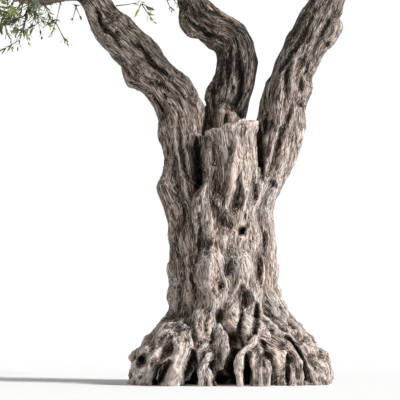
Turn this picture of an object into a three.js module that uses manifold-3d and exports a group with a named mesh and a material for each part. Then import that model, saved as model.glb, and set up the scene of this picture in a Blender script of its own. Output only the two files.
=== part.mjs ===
// An old olive tree: a trunk of fused cords that splay into roots, a sawn stump in its front, three winding
// boughs, lighter limbs that fork from them, and a crown of leafy masses.
// Millimetres, +Z up. The origin is on the flat cut at ground level, and the front of the tree faces -Y.
import * as THREE from "three";
import { mergeVertices } from "three/addons/utils/BufferGeometryUtils.js";
import Module from "manifold-3d";

const wasm = await Module();
wasm.setup();

// Driving sizes of the trunk
const WAIST_CENTRE_X = -30;
const BURIED = -70; // shapes run down to here before the flat cut is made at 0
const CLEAR = 0.3; // gap between neighbouring solids
const FINEST = { wood: 0.05, leaf: 1 }; // details below this size are smoothed away

// Driving sizes of the crown
const CROWN_AXIS = [-150, 60]; // where the middle of the crown stands over the trunk
const LIMB_TIP = 32; // radius of a limb where it enters its mass
const ENTRY = 0.88; // share of a mass's reach at which its limb ends
const MASS_GAP = 12; // half of the space kept free between two masses
const LIMB_GAP = 18; // space kept free between leaves and limbs
const GOLDEN = 137.508; // degrees between one twig of a mass and the next
const TWIGS = 8; // that leave the stem of a mass
const FIRST_GIRTH = 14;
const SIDE_GIRTH = 6;
const SIDE_TWIGS = [{ share: 0.3, side: -1 }, { share: 0.66, side: 1 }];
const FIRST_LEAVES = [{ share: 0.5, side: 1 }, { share: 0.82, side: -1 }];
const SIDE_LEAVES = [{ share: 0.6, side: 1 }];
const LEAF_SPACING = 136; // least distance between the middles of two leaves of a mass
const LEAF = { length: 430, width: 160, fold: 14, widest: 0.42 };

const COLOURS = {
  bark: 0x8c8073,
  limb: 0x857a6c,
  leaf: 0x6f7d4a,
};

// Each limb is a list of stations [x, y, z, radius], from its root to its tip.
const BOUGHS = {
  bough_left: [
    [-262, 0, 1150, 140],
    [-300, 0, 1450, 152],
    [-318, 0, 1800, 158],
    [-414, 15, 2040, 172],
    [-632, 40, 2310, 152],
    [-858, 70, 2580, 132],
    [-968, 85, 2770, 114],
  ],
  bough_middle: [
    [20, 190, 1150, 140],
    [10, 165, 1550, 146],
    [-6, 125, 1870, 140],
    [66, 100, 2190, 154],
    [40, 90, 2410, 146],
    [-125, 90, 2535, 132],
    [-222, 100, 2680, 124],
    [-205, 130, 2860, 110],
  ],
  bough_right: [
    [175, 50, 1050, 125],
    [222, 45, 1280, 134],
    [320, 38, 1500, 152],
    [398, 30, 1830, 158],
    [436, 20, 2060, 160],
    [530, 0, 2290, 138],
    [632, -15, 2510, 132],
    [722, -20, 2700, 126],
    [800, -20, 2860, 114],
  ],
};

// Swellings along the boughs: the share of the bough's length where each starts and ends, the direction that
// it stands out in, how far its middle stands out from the bough's own middle, and its radius there.
const BURLS = {
  bough_left: [
    { from: 0.53, to: 0.71, facing: [-0.75, -0.2, -0.65], out: 80, girth: 110 },
    { from: 0.28, to: 0.5, facing: [-0.95, -0.3, 0], out: 62, girth: 108 },
    { from: 0.06, to: 0.32, facing: [-0.9, -0.5, 0], out: 55, girth: 118 },
    { from: 0.27, to: 0.52, facing: [0.95, 0.1, -0.1], out: 104, girth: 108 },
  ],
  bough_middle: [
    { from: 0.3, to: 0.62, facing: [-1, -0.3, 0], out: 62, girth: 96 },
    { from: 0.62, to: 0.9, facing: [-0.6, -0.5, -0.6], out: 78, girth: 106 },
  ],
  bough_right: [
    { from: 0.28, to: 0.52, facing: [0.9, -0.5, 0], out: 60, girth: 108 },
    { from: 0.12, to: 0.34, facing: [0.9, 0.3, 0], out: 46, girth: 104 },
    { from: 0.5, to: 0.74, facing: [-0.3, -0.9, 0], out: 50, girth: 116 },
  ],
};
const PRUNED_STUB = [
  [660, -50, 2510, 74],
  [740, -62, 2480, 68],
  [806, -70, 2465, 60],
];

// The stump in the front of the trunk, sawn off by a plane that rises to the right.
const STUMP = [
  [14, -110, 700, 172],
  [30, -140, 1100, 194],
  [38, -155, 1450, 186],
  [38, -155, 1900, 206],
];
const STUMP_CUT = { at: [46, -155, 1785], slope: 12, lean: -2 };

// The cords that the trunk is fused from. Azimuths are in degrees, 0 at the front and 90 at the right.
// Each runs from its foot on the ground, up its rise and round the waist, to the limb that it feeds.
const CORDS = [
  // foot, reach, rise, waist, ring, girth, girth of the toes, toes, feeds
  [-86, 610, 430, -86, 272, 124, 92, 2, "bough_left"],
  [-38, 590, 540, -58, 222, 104, 74, 1, "bough_left"],
  [-17, 545, 420, -16, 210, 150, 56, 0, "stump"],
  [39, 570, 560, 24, 205, 136, 80, 1, "stump"],
  [57, 600, 520, 54, 250, 104, 66, 0, "bough_right"],
  [82, 630, 640, 86, 286, 116, 96, 2, "bough_right"],
  [118, 560, 500, 122, 248, 122, 82, 1, "bough_right"],
  [150, 620, 640, 152, 245, 112, 66, 1, "bough_middle"],
  [180, 540, 440, 181, 262, 126, 86, 2, "bough_middle"],
  [-147, 630, 600, -150, 244, 112, 68, 1, "bough_middle"],
  [-120, 580, 500, -120, 254, 124, 80, 1, "bough_left"],
].map(([foot, reach, rise, waist, ring, girth, toe, toes, feeds]) => (
  { foot, reach, rise, waist, ring, girth, toe, toes, feeds }));
const CORD_HEAD = [
  { height: 1400, girth: 0.9, proud: 0.3 },
  { height: 1620, girth: 0.62, proud: 0.1 },
  { height: 1800, girth: 0.4, proud: -0.22 },
];
const ANKLE = 100; // height above which a root leans in to the trunk
const CORD_HEIGHTS = [BURIED, 90, 200, 320, 450, 600, 780, 980, 1200];
const SWAY = 7; // degrees that a cord wanders round the trunk
const SWELL = 0.15; // share of its girth that a cord swells and narrows
const TOE_SPREAD = 17; // degrees between the toes of one cord

// Knobs that stand out of the trunk, and how far each runs out as it runs down.
const KNOBS = [
  // azimuth, distance, z, girth, run
  [-88, 410, 360, 84, 100],
  [84, 420, 410, 92, 160],
  [-25, 290, 700, 96, 0],
];

// Thin roots that arch out in front: azimuth and rise of the start, azimuth and reach of the foot, girth.
const LEGS = [
  { start: 36, rise: 370, foot: 9, reach: 620, girth: 31 },
  { start: 27, rise: 300, foot: 18, reach: 600, girth: 24 },
  { start: 30, rise: 230, foot: 27, reach: 620, girth: 28 },
  { start: 48, rise: 320, foot: 50, reach: 640, girth: 36 },
  { start: -9, rise: 240, foot: -16, reach: 620, girth: 34 },
  { start: -60, rise: 260, foot: -64, reach: 640, girth: 40 },
  { start: 132, rise: 340, foot: 134, reach: 600, girth: 44 },
  { start: -165, rise: 360, foot: -168, reach: 620, girth: 36 },
];
const SHARD = [
  [-45, -400, 450, 16],
  [-30, -430, 360, 46],
  [-12, -455, 250, 62],
  [-30, -450, 110, 24],
];
// Wood that closes the gap between the left bough, the stump and the middle bough.
const WEB = [
  [-130, 80, 1050, 110],
  [-150, 85, 1450, 95],
  [-155, 85, 1930, 48],
];

const rad = THREE.MathUtils.degToRad;
const mix = THREE.MathUtils.lerp;

// A point at an azimuth and distance from the trunk's middle.
function polar(azimuth, distance, z, centreX = 0) {
  return [centreX + distance * Math.sin(rad(azimuth)), -distance * Math.cos(rad(azimuth)), z];
}

// A repeatable stream of numbers from 0 to 1.
function dice(seed) {
  let state = seed >>> 0;
  return () => {
    state = (Math.imul(state, 1664525) + 1013904223) >>> 0;
    return state / 4294967296;
  };
}

// The smooth line and radius through a limb's stations.
function lineOf(stations) {
  const path = new THREE.CatmullRomCurve3(
    stations.map(([x, y, z]) => new THREE.Vector3(x, y, z)), false, "catmullrom", 0.5);
  const width = new THREE.CatmullRomCurve3(
    stations.map(([, , , r]) => new THREE.Vector3(r, 0, 0)), false, "catmullrom", 0.5);
  return {
    at: (share) => path.getPoint(share),
    along: (share) => path.getTangent(share),
    radius: (share) => width.getPoint(share).x,
  };
}

// A closed limb: rings of points round the line, with a cap at each end. lobes, depth and turn shape its
// cross-section into ribs that wind round it, and clear makes it that much thicker all over.
function limbGeometry(stations, { sides = 8, steps = 8, lobes = 0, depth = 0, turn = 0, clear = 0 } = {}) {
  const line = lineOf(stations);
  const first = line.at(0);
  const span = line.at(1).sub(first);
  const sidewaysRun = Math.abs(span.y) > 0.8 * span.length();
  const reference = sidewaysRun ? new THREE.Vector3(1, 0, 0) : new THREE.Vector3(0, 1, 0);
  const positions = [];
  for (let i = 0; i <= steps; i++) {
    const share = i / steps;
    const centre = line.at(share);
    const tangent = line.along(share);
    const side = new THREE.Vector3().crossVectors(reference, tangent).normalize();
    const other = new THREE.Vector3().crossVectors(tangent, side);
    for (let j = 0; j < sides; j++) {
      const angle = (2 * Math.PI * j) / sides;
      const rib = 1 + depth * Math.cos(lobes * angle + turn * share);
      const r = line.radius(share) * rib + clear;
      const point = centre.clone()
        .addScaledVector(side, r * Math.cos(angle))
        .addScaledVector(other, r * Math.sin(angle));
      positions.push(point.x, point.y, point.z);
    }
  }
  const ends = [0, 1].map((share) => {
    const end = line.at(share).addScaledVector(line.along(share), share ? clear : -clear);
    positions.push(end.x, end.y, end.z);
    return positions.length / 3 - 1;
  });
  const index = [];
  for (let j = 0; j < sides; j++) {
    const next = (j + 1) % sides;
    index.push(ends[0], next, j);
    const last = steps * sides;
    index.push(ends[1], last + j, last + next);
    for (let i = 0; i < steps; i++) {
      const a = i * sides;
      const b = a + sides;
      index.push(a + j, a + next, b + next, a + j, b + next, b + j);
    }
  }
  const geometry = new THREE.BufferGeometry();
  geometry.setAttribute("position", new THREE.Float32BufferAttribute(positions, 3));
  geometry.setIndex(index);
  return geometry;
}

// A closed geometry as a solid that can be joined and cut.
function solidOf(geometry) {
  const bare = geometry.clone();
  bare.deleteAttribute("normal");
  bare.deleteAttribute("uv");
  const merged = mergeVertices(bare, 1e-3);
  return new wasm.Manifold(new wasm.Mesh({
    numProp: 3,
    vertProperties: new Float32Array(merged.attributes.position.array),
    triVerts: new Uint32Array(merged.index.array),
  }));
}

const limb = (stations, options) => solidOf(limbGeometry(stations, options));

function joined(solids) {
  return solids.reduce((all, next) => all.add(next));
}

function geometryOf(solid) {
  const mesh = solid.getMesh();
  const positions = new Float32Array(mesh.numVert * 3);
  for (let i = 0; i < mesh.numVert; i++) {
    positions.set(mesh.vertProperties.subarray(i * mesh.numProp, i * mesh.numProp + 3), 3 * i);
  }
  const geometry = new THREE.BufferGeometry();
  geometry.setAttribute("position", new THREE.BufferAttribute(positions, 3));
  geometry.setIndex(new THREE.BufferAttribute(new Uint32Array(mesh.triVerts), 1));
  return geometry;
}

// The largest piece of a solid, without its tiniest edges: scraps that a cut leaves loose are dropped.
function largest(solid, finest = FINEST.wood) {
  let best = solid.simplify(finest);
  let pieces;
  do {
    pieces = solidOf(geometryOf(best)).decompose();
    best = pieces.reduce((most, piece) => (piece.volume() > most.volume() ? piece : most));
  } while (pieces.length > 1);
  return best;
}

function block(width, depth, height, x, y, z) {
  return solidOf(new THREE.BoxGeometry(width, depth, height).translate(x, y, z));
}

// The wood below the neck

// How far along a limb's line it first comes up to a height.
function shareAt(line, height) {
  let share = 0;
  while (share < 1 && line.at(share).z < height) share += 0.01;
  return share;
}

// The last stations of a cord: it goes on up the side of the limb that it feeds, and sinks into it.
function headOf(cord) {
  const line = lineOf(cord.feeds === "stump" ? STUMP : BOUGHS[cord.feeds]);
  const top = CORD_HEIGHTS.at(-1);
  const [x, y] = polar(cord.waist, cord.ring, top, WAIST_CENTRE_X);
  const middle = line.at(shareAt(line, top));
  const side = THREE.MathUtils.radToDeg(Math.atan2(x - middle.x, middle.y - y));
  return CORD_HEAD.map(({ height, girth, proud }) => {
    const share = shareAt(line, height);
    const centre = line.at(share);
    const [dx, dy] = polar(side, line.radius(share) + (proud - girth) * cord.girth, 0);
    return [centre.x + dx, centre.y + dy, height, girth * cord.girth];
  });
}

// How far out from the waist to its foot a cord stands at a height.
function outwardAt(cord, z) {
  return THREE.MathUtils.smoothstep(cord.rise - z, 0, cord.rise - ANKLE);
}

function cordStations(cord) {
  const stations = CORD_HEIGHTS.map((z) => {
    const outward = outwardAt(cord, z);
    const wander = SWAY * Math.sin(z / 110 + cord.foot);
    const azimuth = mix(cord.waist, cord.foot, Math.min(1, 1.5 * outward)) + wander;
    const [x, y] = polar(azimuth, mix(cord.ring, cord.reach, outward), z, mix(WAIST_CENTRE_X, 0, outward));
    const swell = 1 + SWELL * Math.sin(z / 70 + 2 * cord.foot);
    return [x, y, z, mix(cord.girth, cord.toe, outward) * swell];
  });
  return [...stations, ...headOf(cord)];
}

// The toes fork from a cord at its knee and stand beside its foot.
function toeStations(cord, toe) {
  const side = toe % 2 ? 1 : -1;
  const turn = side * TOE_SPREAD * Math.ceil((toe + 1) / 2);
  const shin = cordStations(cord)[4];
  const out = cord.reach * (1 + 0.05 * Math.sin(5 * cord.foot + toe));
  const girth = cord.toe * (0.78 + 0.14 * Math.sin(3 * cord.foot + 2 * toe));
  const bend = polar(cord.foot + 0.7 * turn, 0.84 * cord.reach, 170 + 40 * Math.sin(cord.foot + toe));
  return [
    [shin[0], shin[1], shin[2] - 20, girth],
    [mix(shin[0], bend[0], 0.55), mix(shin[1], bend[1], 0.55), mix(shin[2], bend[2], 0.5), girth * 1.1],
    [...bend, girth * 1.05],
    [...polar(cord.foot + turn, out, 60), girth],
    [...polar(cord.foot + turn, out * 1.01, BURIED), girth * 0.95],
  ];
}

function legStations({ start, rise, foot, reach, girth }) {
  return [
    [...polar(start, 0.62 * reach, rise), 1.25 * girth],
    [...polar(mix(start, foot, 0.6), 0.86 * reach, 0.76 * rise), 0.9 * girth],
    [...polar(foot, 0.98 * reach, 0.52 * rise), 1.15 * girth],
    [...polar(foot, reach, BURIED), girth],
  ];
}

function knobStations([azimuth, distance, z, girth, run]) {
  return [
    [...polar(azimuth, distance - 30 - 0.5 * run, z + 150), 0.5 * girth],
    [...polar(azimuth, distance, z), girth],
    [...polar(azimuth, distance - 30 + run, z - 150), 0.5 * girth],
  ];
}

function heartStations() {
  return [
    [-5, 20, BURIED, 300],
    [-10, 20, 320, 290],
    [WAIST_CENTRE_X, 20, 800, 270],
    [WAIST_CENTRE_X, 20, 1290, 250],
  ];
}

// All that stands above the saw cut of the stump.
function aboveStump(clear = 0) {
  const { at, slope, lean } = STUMP_CUT;
  const size = 700;
  const cut = new THREE.BoxGeometry(size, size, size).translate(0, 0, size / 2 + clear)
    .rotateX(rad(lean)).rotateY(rad(-slope)).translate(...at);
  return solidOf(cut);
}

function trunkSolid(clear = 0) {
  const cordSolid = (cord) => limb(cordStations(cord), { sides: 6, steps: 8, clear });
  const toesOf = (cord) => Array.from({ length: cord.toes }, (_, toe) => (
    limb(toeStations(cord, toe), { sides: 4, steps: 2, clear })));
  const stump = joined([
    limb(STUMP, { sides: 12, steps: 5, lobes: 5, depth: 0.05, turn: 0.6, clear }),
    ...CORDS.filter(({ feeds }) => feeds === "stump").map(cordSolid),
  ]).subtract(aboveStump(clear));
  const cords = CORDS.filter(({ feeds }) => feeds !== "stump").map(cordSolid);
  const legs = LEGS.map((leg) => limb(legStations(leg), { sides: 4, steps: 3, clear }));
  const knobs = KNOBS.map((knob) => limb(knobStations(knob), { sides: 4, steps: 2, clear }));
  const shard = limb(SHARD, { sides: 4, steps: 3, clear });
  const web = limb(WEB, { sides: 5, steps: 2, clear });
  const heart = limb(heartStations(), { sides: 8, steps: 3, clear });
  const roots = [...CORDS.flatMap(toesOf), ...legs, ...knobs, shard];
  const ground = block(3000, 3000, 400, 0, 0, -200);
  return joined([heart, stump, ...cords, ...roots, web]).subtract(ground);
}

// The boughs

// A spindle that swells out of a bough and runs along it.
function burlStations(bough, { from, to, facing, out, girth }) {
  const line = lineOf(bough);
  const away = new THREE.Vector3(...facing).normalize();
  return [0, 0.5, 1].map((share) => {
    const middle = share === 0.5;
    const centre = line.at(mix(from, to, share)).addScaledVector(away, middle ? out : 0.5 * out);
    return [centre.x, centre.y, centre.z, middle ? girth : 0.5 * girth];
  });
}

function boughSolid(name, clear = 0) {
  const shaft = limb(BOUGHS[name], { sides: 9, steps: 11, lobes: 4, depth: 0.06, turn: 2.4, clear });
  const burls = BURLS[name].map((burl) => (
    limb(burlStations(BOUGHS[name], burl), { sides: 5, steps: 3, clear })));
  const stub = name === "bough_right" ? [limb(PRUNED_STUB, { sides: 6, steps: 2, clear })] : [];
  return joined([shaft, ...burls, ...stub]);
}

// The crown

// A mass of foliage fills an ellipsoid: its azimuth and distance from the crown's axis, its height, its reach
// to the sides and up, and the seed that its twigs grow by. Its limb leaves a bough at a share of the bough's
// length. The limb's radius at the fork follows the bough's, apart from one that is given.
const MASSES = Object.fromEntries([
  // name, azimuth, distance, z, side, rise, bough, fork, seed, girth
  ["left", -90, 1700, 2950, 850, 690, "bough_left", 0.87, 140, 54],
  ["left_front", -44, 1620, 3230, 820, 620, "bough_left", 0.8, 45],
  ["left_back", -136, 1620, 3480, 820, 620, "bough_left", 0.92, 95],
  ["upper_left", -62, 900, 4060, 820, 600, "bough_left", 0.97, 57],
  ["front", 2, 1620, 3180, 800, 600, "bough_middle", 0.88, 4],
  ["back", 178, 1620, 3640, 820, 600, "bough_middle", 0.93, 58],
  ["upper_back", 176, 860, 4260, 820, 580, "bough_middle", 0.96, 7],
  ["top", 20, 120, 4560, 780, 540, "bough_middle", 0.99, 38],
  ["right_front", 47, 1620, 3240, 820, 620, "bough_right", 0.82, 39],
  ["right", 92, 1850, 3290, 850, 640, "bough_right", 0.88, 9],
  ["right_back", 137, 1620, 3560, 820, 620, "bough_right", 0.92, 58],
  ["upper_right", 62, 900, 4120, 820, 600, "bough_right", 0.97, 11],
].map(([name, azimuth, distance, z, side, rise, bough, fork, seed, girth]) => (
  [name, { azimuth, distance, z, side, rise, bough, fork, seed, girth }])));

function centreOf(mass) {
  const [x, y, z] = polar(mass.azimuth, mass.distance, mass.z);
  return new THREE.Vector3(x + CROWN_AXIS[0], y + CROWN_AXIS[1], z);
}

// How far out of the middle of its mass a point lies: 1 on the ellipsoid.
function spread(mass, point) {
  const from = point.clone().sub(centreOf(mass));
  return Math.hypot(from.x / mass.side, from.y / mass.side, from.z / mass.rise);
}

// A limb starts inside its bough, turns out of it, and ends where it enters its mass.
function limbStations(mass) {
  const line = lineOf(BOUGHS[mass.bough]);
  const root = line.at(mass.fork);
  const centre = centreOf(mass);
  const entry = centre.clone().lerp(root, ENTRY / spread(mass, root));
  const length = entry.distanceTo(root);
  const knee = root.clone().addScaledVector(line.along(mass.fork), 0.3 * length);
  const sway = new THREE.Vector3(...polar(mass.azimuth + 90, 0.06 * length, 0));
  const elbow = knee.clone().lerp(entry, 0.55).add(sway);
  elbow.z += 0.05 * length;
  const girth = mass.girth ?? 0.74 * line.radius(mass.fork);
  return [
    [...root, girth],
    [...knee, 0.84 * girth],
    [...elbow, mix(girth, LIMB_TIP, 0.6)],
    [...entry, LIMB_TIP],
  ];
}

function limbSolid(mass, clear = 0) {
  return limb(limbStations(mass), { sides: 6, steps: 4, clear });
}

// Points with a radius all along a limb, to keep leaves off it.
function beadsOf(stations, count = 40) {
  const line = lineOf(stations);
  return Array.from({ length: count + 1 }, (_, i) => ({ at: line.at(i / count), r: line.radius(i / count) }));
}

// A solid of three sides through rings, each as wide and as deep as it says, that runs out in a point.
function bladeSolid(rings, tip) {
  const points = [];
  const faces = [[0, 1, 2]];
  rings.forEach(({ at, along, side, wide, deep }, i) => {
    const up = new THREE.Vector3().crossVectors(along, side);
    for (let j = 0; j < 3; j++) {
      const angle = (2 * Math.PI * j) / 3;
      const point = at.clone().addScaledVector(up, deep * Math.cos(angle));
      points.push(point.addScaledVector(side, wide * Math.sin(angle)));
      const a = 3 * i + j;
      const b = 3 * i + ((j + 1) % 3);
      if (i < rings.length - 1) faces.push([a, b + 3, b], [a, a + 3, b + 3]);
      else faces.push([a, 3 * rings.length, b]);
    }
  });
  return faceted([...points, tip], faces);
}

// A solid from its corners and its faces.
function faceted(corners, faces) {
  const geometry = new THREE.BufferGeometry();
  const positions = corners.flatMap(({ x, y, z }) => [x, y, z]);
  geometry.setAttribute("position", new THREE.Float32BufferAttribute(positions, 3));
  geometry.setIndex(faces.flat());
  return solidOf(geometry);
}

// The direction across a twig or leaf, turned by its roll.
function acrossOf(along, roll = 0) {
  const reference = new THREE.Vector3(Math.abs(along.z) > 0.9 ? 1 : 0, 0, Math.abs(along.z) > 0.9 ? 0 : 1);
  return reference.cross(along).normalize().applyAxisAngle(along, roll);
}

// The widest ring of a leaf that starts at a point. Its two edges lie lower than its rib.
function leafRing(start, along, roll, size) {
  return {
    at: start.clone().addScaledVector(along, LEAF.widest * LEAF.length * size),
    along,
    side: acrossOf(along, roll),
    wide: (0.5 * LEAF.width * size) / Math.sin(rad(60)),
    deep: LEAF.fold * size,
  };
}

function round(at, along, girth) {
  return { at, along, side: acrossOf(along), wide: girth, deep: girth };
}

const beads = [];
for (const stations of Object.values(BOUGHS)) beads.push(...beadsOf(stations, 80));
for (const mass of Object.values(MASSES)) beads.push(...beadsOf(limbStations(mass)));

// Whether a point is inside its mass, nearer to its middle than to any other, and off the limbs.
function fits(mass, point) {
  if (spread(mass, point) > 1) return false;
  const own = centreOf(mass);
  for (const other of Object.values(MASSES)) {
    if (other === mass) continue;
    const middle = centreOf(other);
    const nearer = point.distanceToSquared(middle) - point.distanceToSquared(own);
    const gap = nearer / (2 * own.distanceTo(middle));
    if (gap < MASS_GAP) return false;
  }
  return beads.every(({ at, r }) => point.distanceTo(at) > r + LIMB_GAP);
}

// Points along the straight lines through some corners.
function between(corners, steps = 6) {
  const points = [];
  for (let i = 1; i < corners.length; i++) {
    for (let k = 0; k <= steps; k++) points.push(corners[i - 1].clone().lerp(corners[i], k / steps));
  }
  return points;
}

// The stem of a mass goes on from its limb's tip, past the middle of the mass.
function stemStations(mass) {
  const tip = lineOf(limbStations(mass));
  const start = tip.at(1).addScaledVector(tip.along(1), CLEAR);
  const centre = centreOf(mass);
  const first = start.clone().addScaledVector(tip.along(1), 0.35 * start.distanceTo(centre));
  const last = centre.clone().lerp(start, -0.35);
  last.z += 0.12 * mass.rise;
  return [
    [...start, 0.92 * LIMB_TIP],
    [...first, 0.85 * LIMB_TIP],
    [...centre, 0.75 * LIMB_TIP],
    [...last, 0.6 * LIMB_TIP],
  ];
}

// Where a leaf's outline comes, to test whether it fits.
function leafOutline(start, along, roll, size) {
  const ring = leafRing(start, along, roll, size);
  const edge = (way) => ring.at.clone().addScaledVector(ring.side, way * 0.5 * LEAF.width * size);
  const tip = start.clone().addScaledVector(along, LEAF.length * size);
  return [start, edge(1), tip, edge(-1), start];
}

// The twigs of a mass, in the order in which they grow: those that reach out from the stem to points spread
// evenly over the ellipsoid, and from each of them two side twigs. Each ends in a leaf.
function twigsOf(mass, draw) {
  const stem = lineOf(stemStations(mass));
  const centre = centreOf(mass);
  const run = stem.at(1).sub(stem.at(0));
  const turn = 360 * draw();
  const twigs = [];
  for (let k = 0; k < TWIGS; k++) {
    const up = 1 - (2 * (k + 0.5)) / TWIGS;
    const ring = Math.sqrt(1 - up * up);
    const angle = rad(k * GOLDEN + turn);
    const level = mass.side * ring;
    const way = new THREE.Vector3(level * Math.cos(angle), level * Math.sin(angle), mass.rise * up);
    const lean = way.dot(run) / (way.length() * run.length());
    const root = stem.at(THREE.MathUtils.clamp(0.55 + 0.4 * lean, 0.3, 0.96));
    const roll = 2 * (draw() - 0.5);
    let twig;
    for (let reach = 0.97; reach > 0.6 && !twig; reach -= 0.03) {
      twig = grownTwig(mass, root, centre.clone().addScaledVector(way, reach), roll, 0.1, 1, FIRST_GIRTH);
    }
    if (!twig) continue;
    twigs.push(twig);
    for (const { share, side } of k % 2 ? SIDE_TWIGS : SIDE_TWIGS.slice(1)) {
      const along = twig.neck.clone().sub(root).normalize();
      const across = acrossOf(along);
      const start = pointAlong(twig, share);
      const way = along.clone().multiplyScalar(0.7).addScaledVector(across, side * (0.7 + 0.3 * draw()));
      way.z += 0.6 * (draw() - 0.45);
      const length = (0.5 + 0.16 * draw()) * mass.side;
      const tip = start.clone().addScaledVector(way.normalize(), length);
      const sub = grownTwig(mass, start, tip, 3 * (draw() - 0.5), 0, 0.9, SIDE_GIRTH);
      if (sub) twigs.push(sub);
    }
  }
  return twigs;
}

// A twig that bends once and passes into a leaf at its end, where it fits its mass.
function grownTwig(mass, root, tip, roll, arch, size, girth) {
  const along = tip.clone().sub(root).normalize();
  const neck = tip.clone().addScaledVector(along, -LEAF.length * size);
  const middle = root.clone().lerp(neck, 0.55);
  middle.z += arch * root.distanceTo(neck);
  if (neck.distanceTo(root) < 0.15 * LEAF.length) return null;
  const outline = between([root, middle, ...leafOutline(neck, along, roll, size)]);
  if (!outline.every((point) => fits(mass, point))) return null;
  return { root, middle, neck, tip, along, roll, size, girth };
}

// The middle of a twig at a share of its way from its root to where its leaf starts, and its radius there.
function pointAlong({ root, middle, neck }, share) {
  if (share < 0.55) return root.clone().lerp(middle, share / 0.55);
  return middle.clone().lerp(neck, (share - 0.55) / 0.45);
}

function twigSolid({ root, middle, neck, tip, along, roll, size, girth }) {
  const first = middle.clone().sub(root).normalize();
  const rings = [round(root, first, 0.7 * girth)];
  if (girth > SIDE_GIRTH) rings.push(round(middle, along, girth));
  rings.push(round(neck, along, 0.6 * girth), leafRing(neck, along, roll, size));
  return bladeSolid(rings, tip);
}

// Leaves beside a twig: each starts in the middle of it, and keeps off the leaves that grew before it.
function leavesOf(mass, twig, draw, middles) {
  const leaves = [];
  const across = acrossOf(twig.along);
  for (const { share, side } of twig.girth > SIDE_GIRTH ? FIRST_LEAVES : SIDE_LEAVES) {
    const start = pointAlong(twig, share);
    const along = twig.along.clone().multiplyScalar(0.75);
    along.addScaledVector(across, side * (0.6 + 0.4 * draw()));
    along.z += 0.9 * (draw() - 0.45);
    along.normalize();
    const roll = 3 * (draw() - 0.5);
    const size = 0.8 + 0.25 * draw();
    const middle = start.clone().addScaledVector(along, 0.55 * LEAF.length * size);
    if (middles.some((other) => other.distanceTo(middle) < LEAF_SPACING)) continue;
    const outline = between(leafOutline(start, along, roll, size), 4);
    if (!outline.every((point) => fits(mass, point))) continue;
    middles.push(middle);
    leaves.push({ start, along, roll, size });
  }
  return leaves;
}

// A leaf of four faces: the rib runs from its start to its tip, above the line between its two edges.
function leafSolid({ start, along, roll, size }) {
  const [, right, tip, left] = leafOutline(start, along, roll, size);
  const drop = new THREE.Vector3().crossVectors(acrossOf(along, roll), along);
  drop.multiplyScalar(LEAF.fold * size);
  const faces = [[0, 2, 3], [1, 3, 2], [0, 1, 2], [0, 3, 1]];
  return faceted([start, tip, right.add(drop), left.add(drop)], faces);
}

function massSolid(mass) {
  const draw = dice(mass.seed);
  const twigs = twigsOf(mass, draw);
  const middles = twigs.map(({ neck, along, size }) => (
    neck.clone().addScaledVector(along, 0.55 * LEAF.length * size)));
  const leaves = twigs.flatMap((twig) => leavesOf(mass, twig, draw, middles));
  const stem = limb(stemStations(mass), { sides: 4, steps: 5 });
  return largest(joined([stem, ...twigs.map(twigSolid), ...leaves.map(leafSolid)]), FINEST.leaf);
}

// The scene graph
const tree = new THREE.Group();

function addNode(name, solid, colour) {
  const paint = new THREE.MeshStandardMaterial({ color: colour, roughness: 0.9, metalness: 0 });
  const node = new THREE.Mesh(geometryOf(solid), paint);
  node.name = name;
  tree.add(node);
}

addNode("trunk", largest(trunkSolid()), COLOURS.bark);
let taken = trunkSolid(CLEAR);
for (const name of Object.keys(BOUGHS)) {
  addNode(name, largest(boughSolid(name).subtract(taken)), COLOURS.bark);
  taken = taken.add(boughSolid(name, CLEAR));
}
for (const [name, mass] of Object.entries(MASSES)) {
  addNode(`limb_${name}`, largest(limbSolid(mass).subtract(taken)), COLOURS.limb);
  taken = taken.add(limbSolid(mass, CLEAR));
}
for (const [name, mass] of Object.entries(MASSES)) {
  addNode(`foliage_${name}`, massSolid(mass), COLOURS.leaf);
}

export default tree;
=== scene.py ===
"""An old olive tree: furrowed wood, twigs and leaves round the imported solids, on a plain pale floor."""
import math
from collections import namedtuple

import bmesh
import bpy
import numpy as np
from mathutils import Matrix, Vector


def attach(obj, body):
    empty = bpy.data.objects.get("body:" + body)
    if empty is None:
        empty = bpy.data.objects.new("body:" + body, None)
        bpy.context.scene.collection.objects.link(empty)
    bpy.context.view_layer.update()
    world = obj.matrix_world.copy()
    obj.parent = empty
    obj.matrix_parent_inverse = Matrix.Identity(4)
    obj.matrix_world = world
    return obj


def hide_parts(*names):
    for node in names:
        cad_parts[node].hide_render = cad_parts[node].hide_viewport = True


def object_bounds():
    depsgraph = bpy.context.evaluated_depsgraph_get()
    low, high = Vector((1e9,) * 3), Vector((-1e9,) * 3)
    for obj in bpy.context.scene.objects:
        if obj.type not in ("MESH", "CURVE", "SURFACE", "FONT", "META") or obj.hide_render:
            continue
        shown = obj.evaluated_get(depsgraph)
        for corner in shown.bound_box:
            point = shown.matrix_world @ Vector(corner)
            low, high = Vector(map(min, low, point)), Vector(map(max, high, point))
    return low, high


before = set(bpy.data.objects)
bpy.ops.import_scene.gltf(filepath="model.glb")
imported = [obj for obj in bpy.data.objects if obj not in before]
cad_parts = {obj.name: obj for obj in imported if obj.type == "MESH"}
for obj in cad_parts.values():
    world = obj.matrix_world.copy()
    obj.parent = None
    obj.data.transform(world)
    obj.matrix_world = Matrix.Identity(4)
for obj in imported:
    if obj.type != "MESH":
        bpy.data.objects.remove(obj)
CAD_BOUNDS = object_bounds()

bl_info = {
    "name": "Olive Tree",
    "version": (1, 0, 0),
    "blender": (4, 5, 0),
    "location": "3D View > Sidebar > Olive",
    "description": "Builds an old olive tree with furrowed wood and a leafy crown",
    "category": "Object",
}

# Sizes are in metres and angles in degrees. The front faces -Y, and the ground is at 0.

# The trunk: where its middle stands at the waist, how high the crags of its foot reach and over what height
# they fade, and how far its roots go on below the ground before they are cut flat.
WAIST_CENTRE_X = -0.030
FOOT_HEIGHT = 0.620
FOOT_FADE = 0.25
BURIED = -0.070

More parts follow.
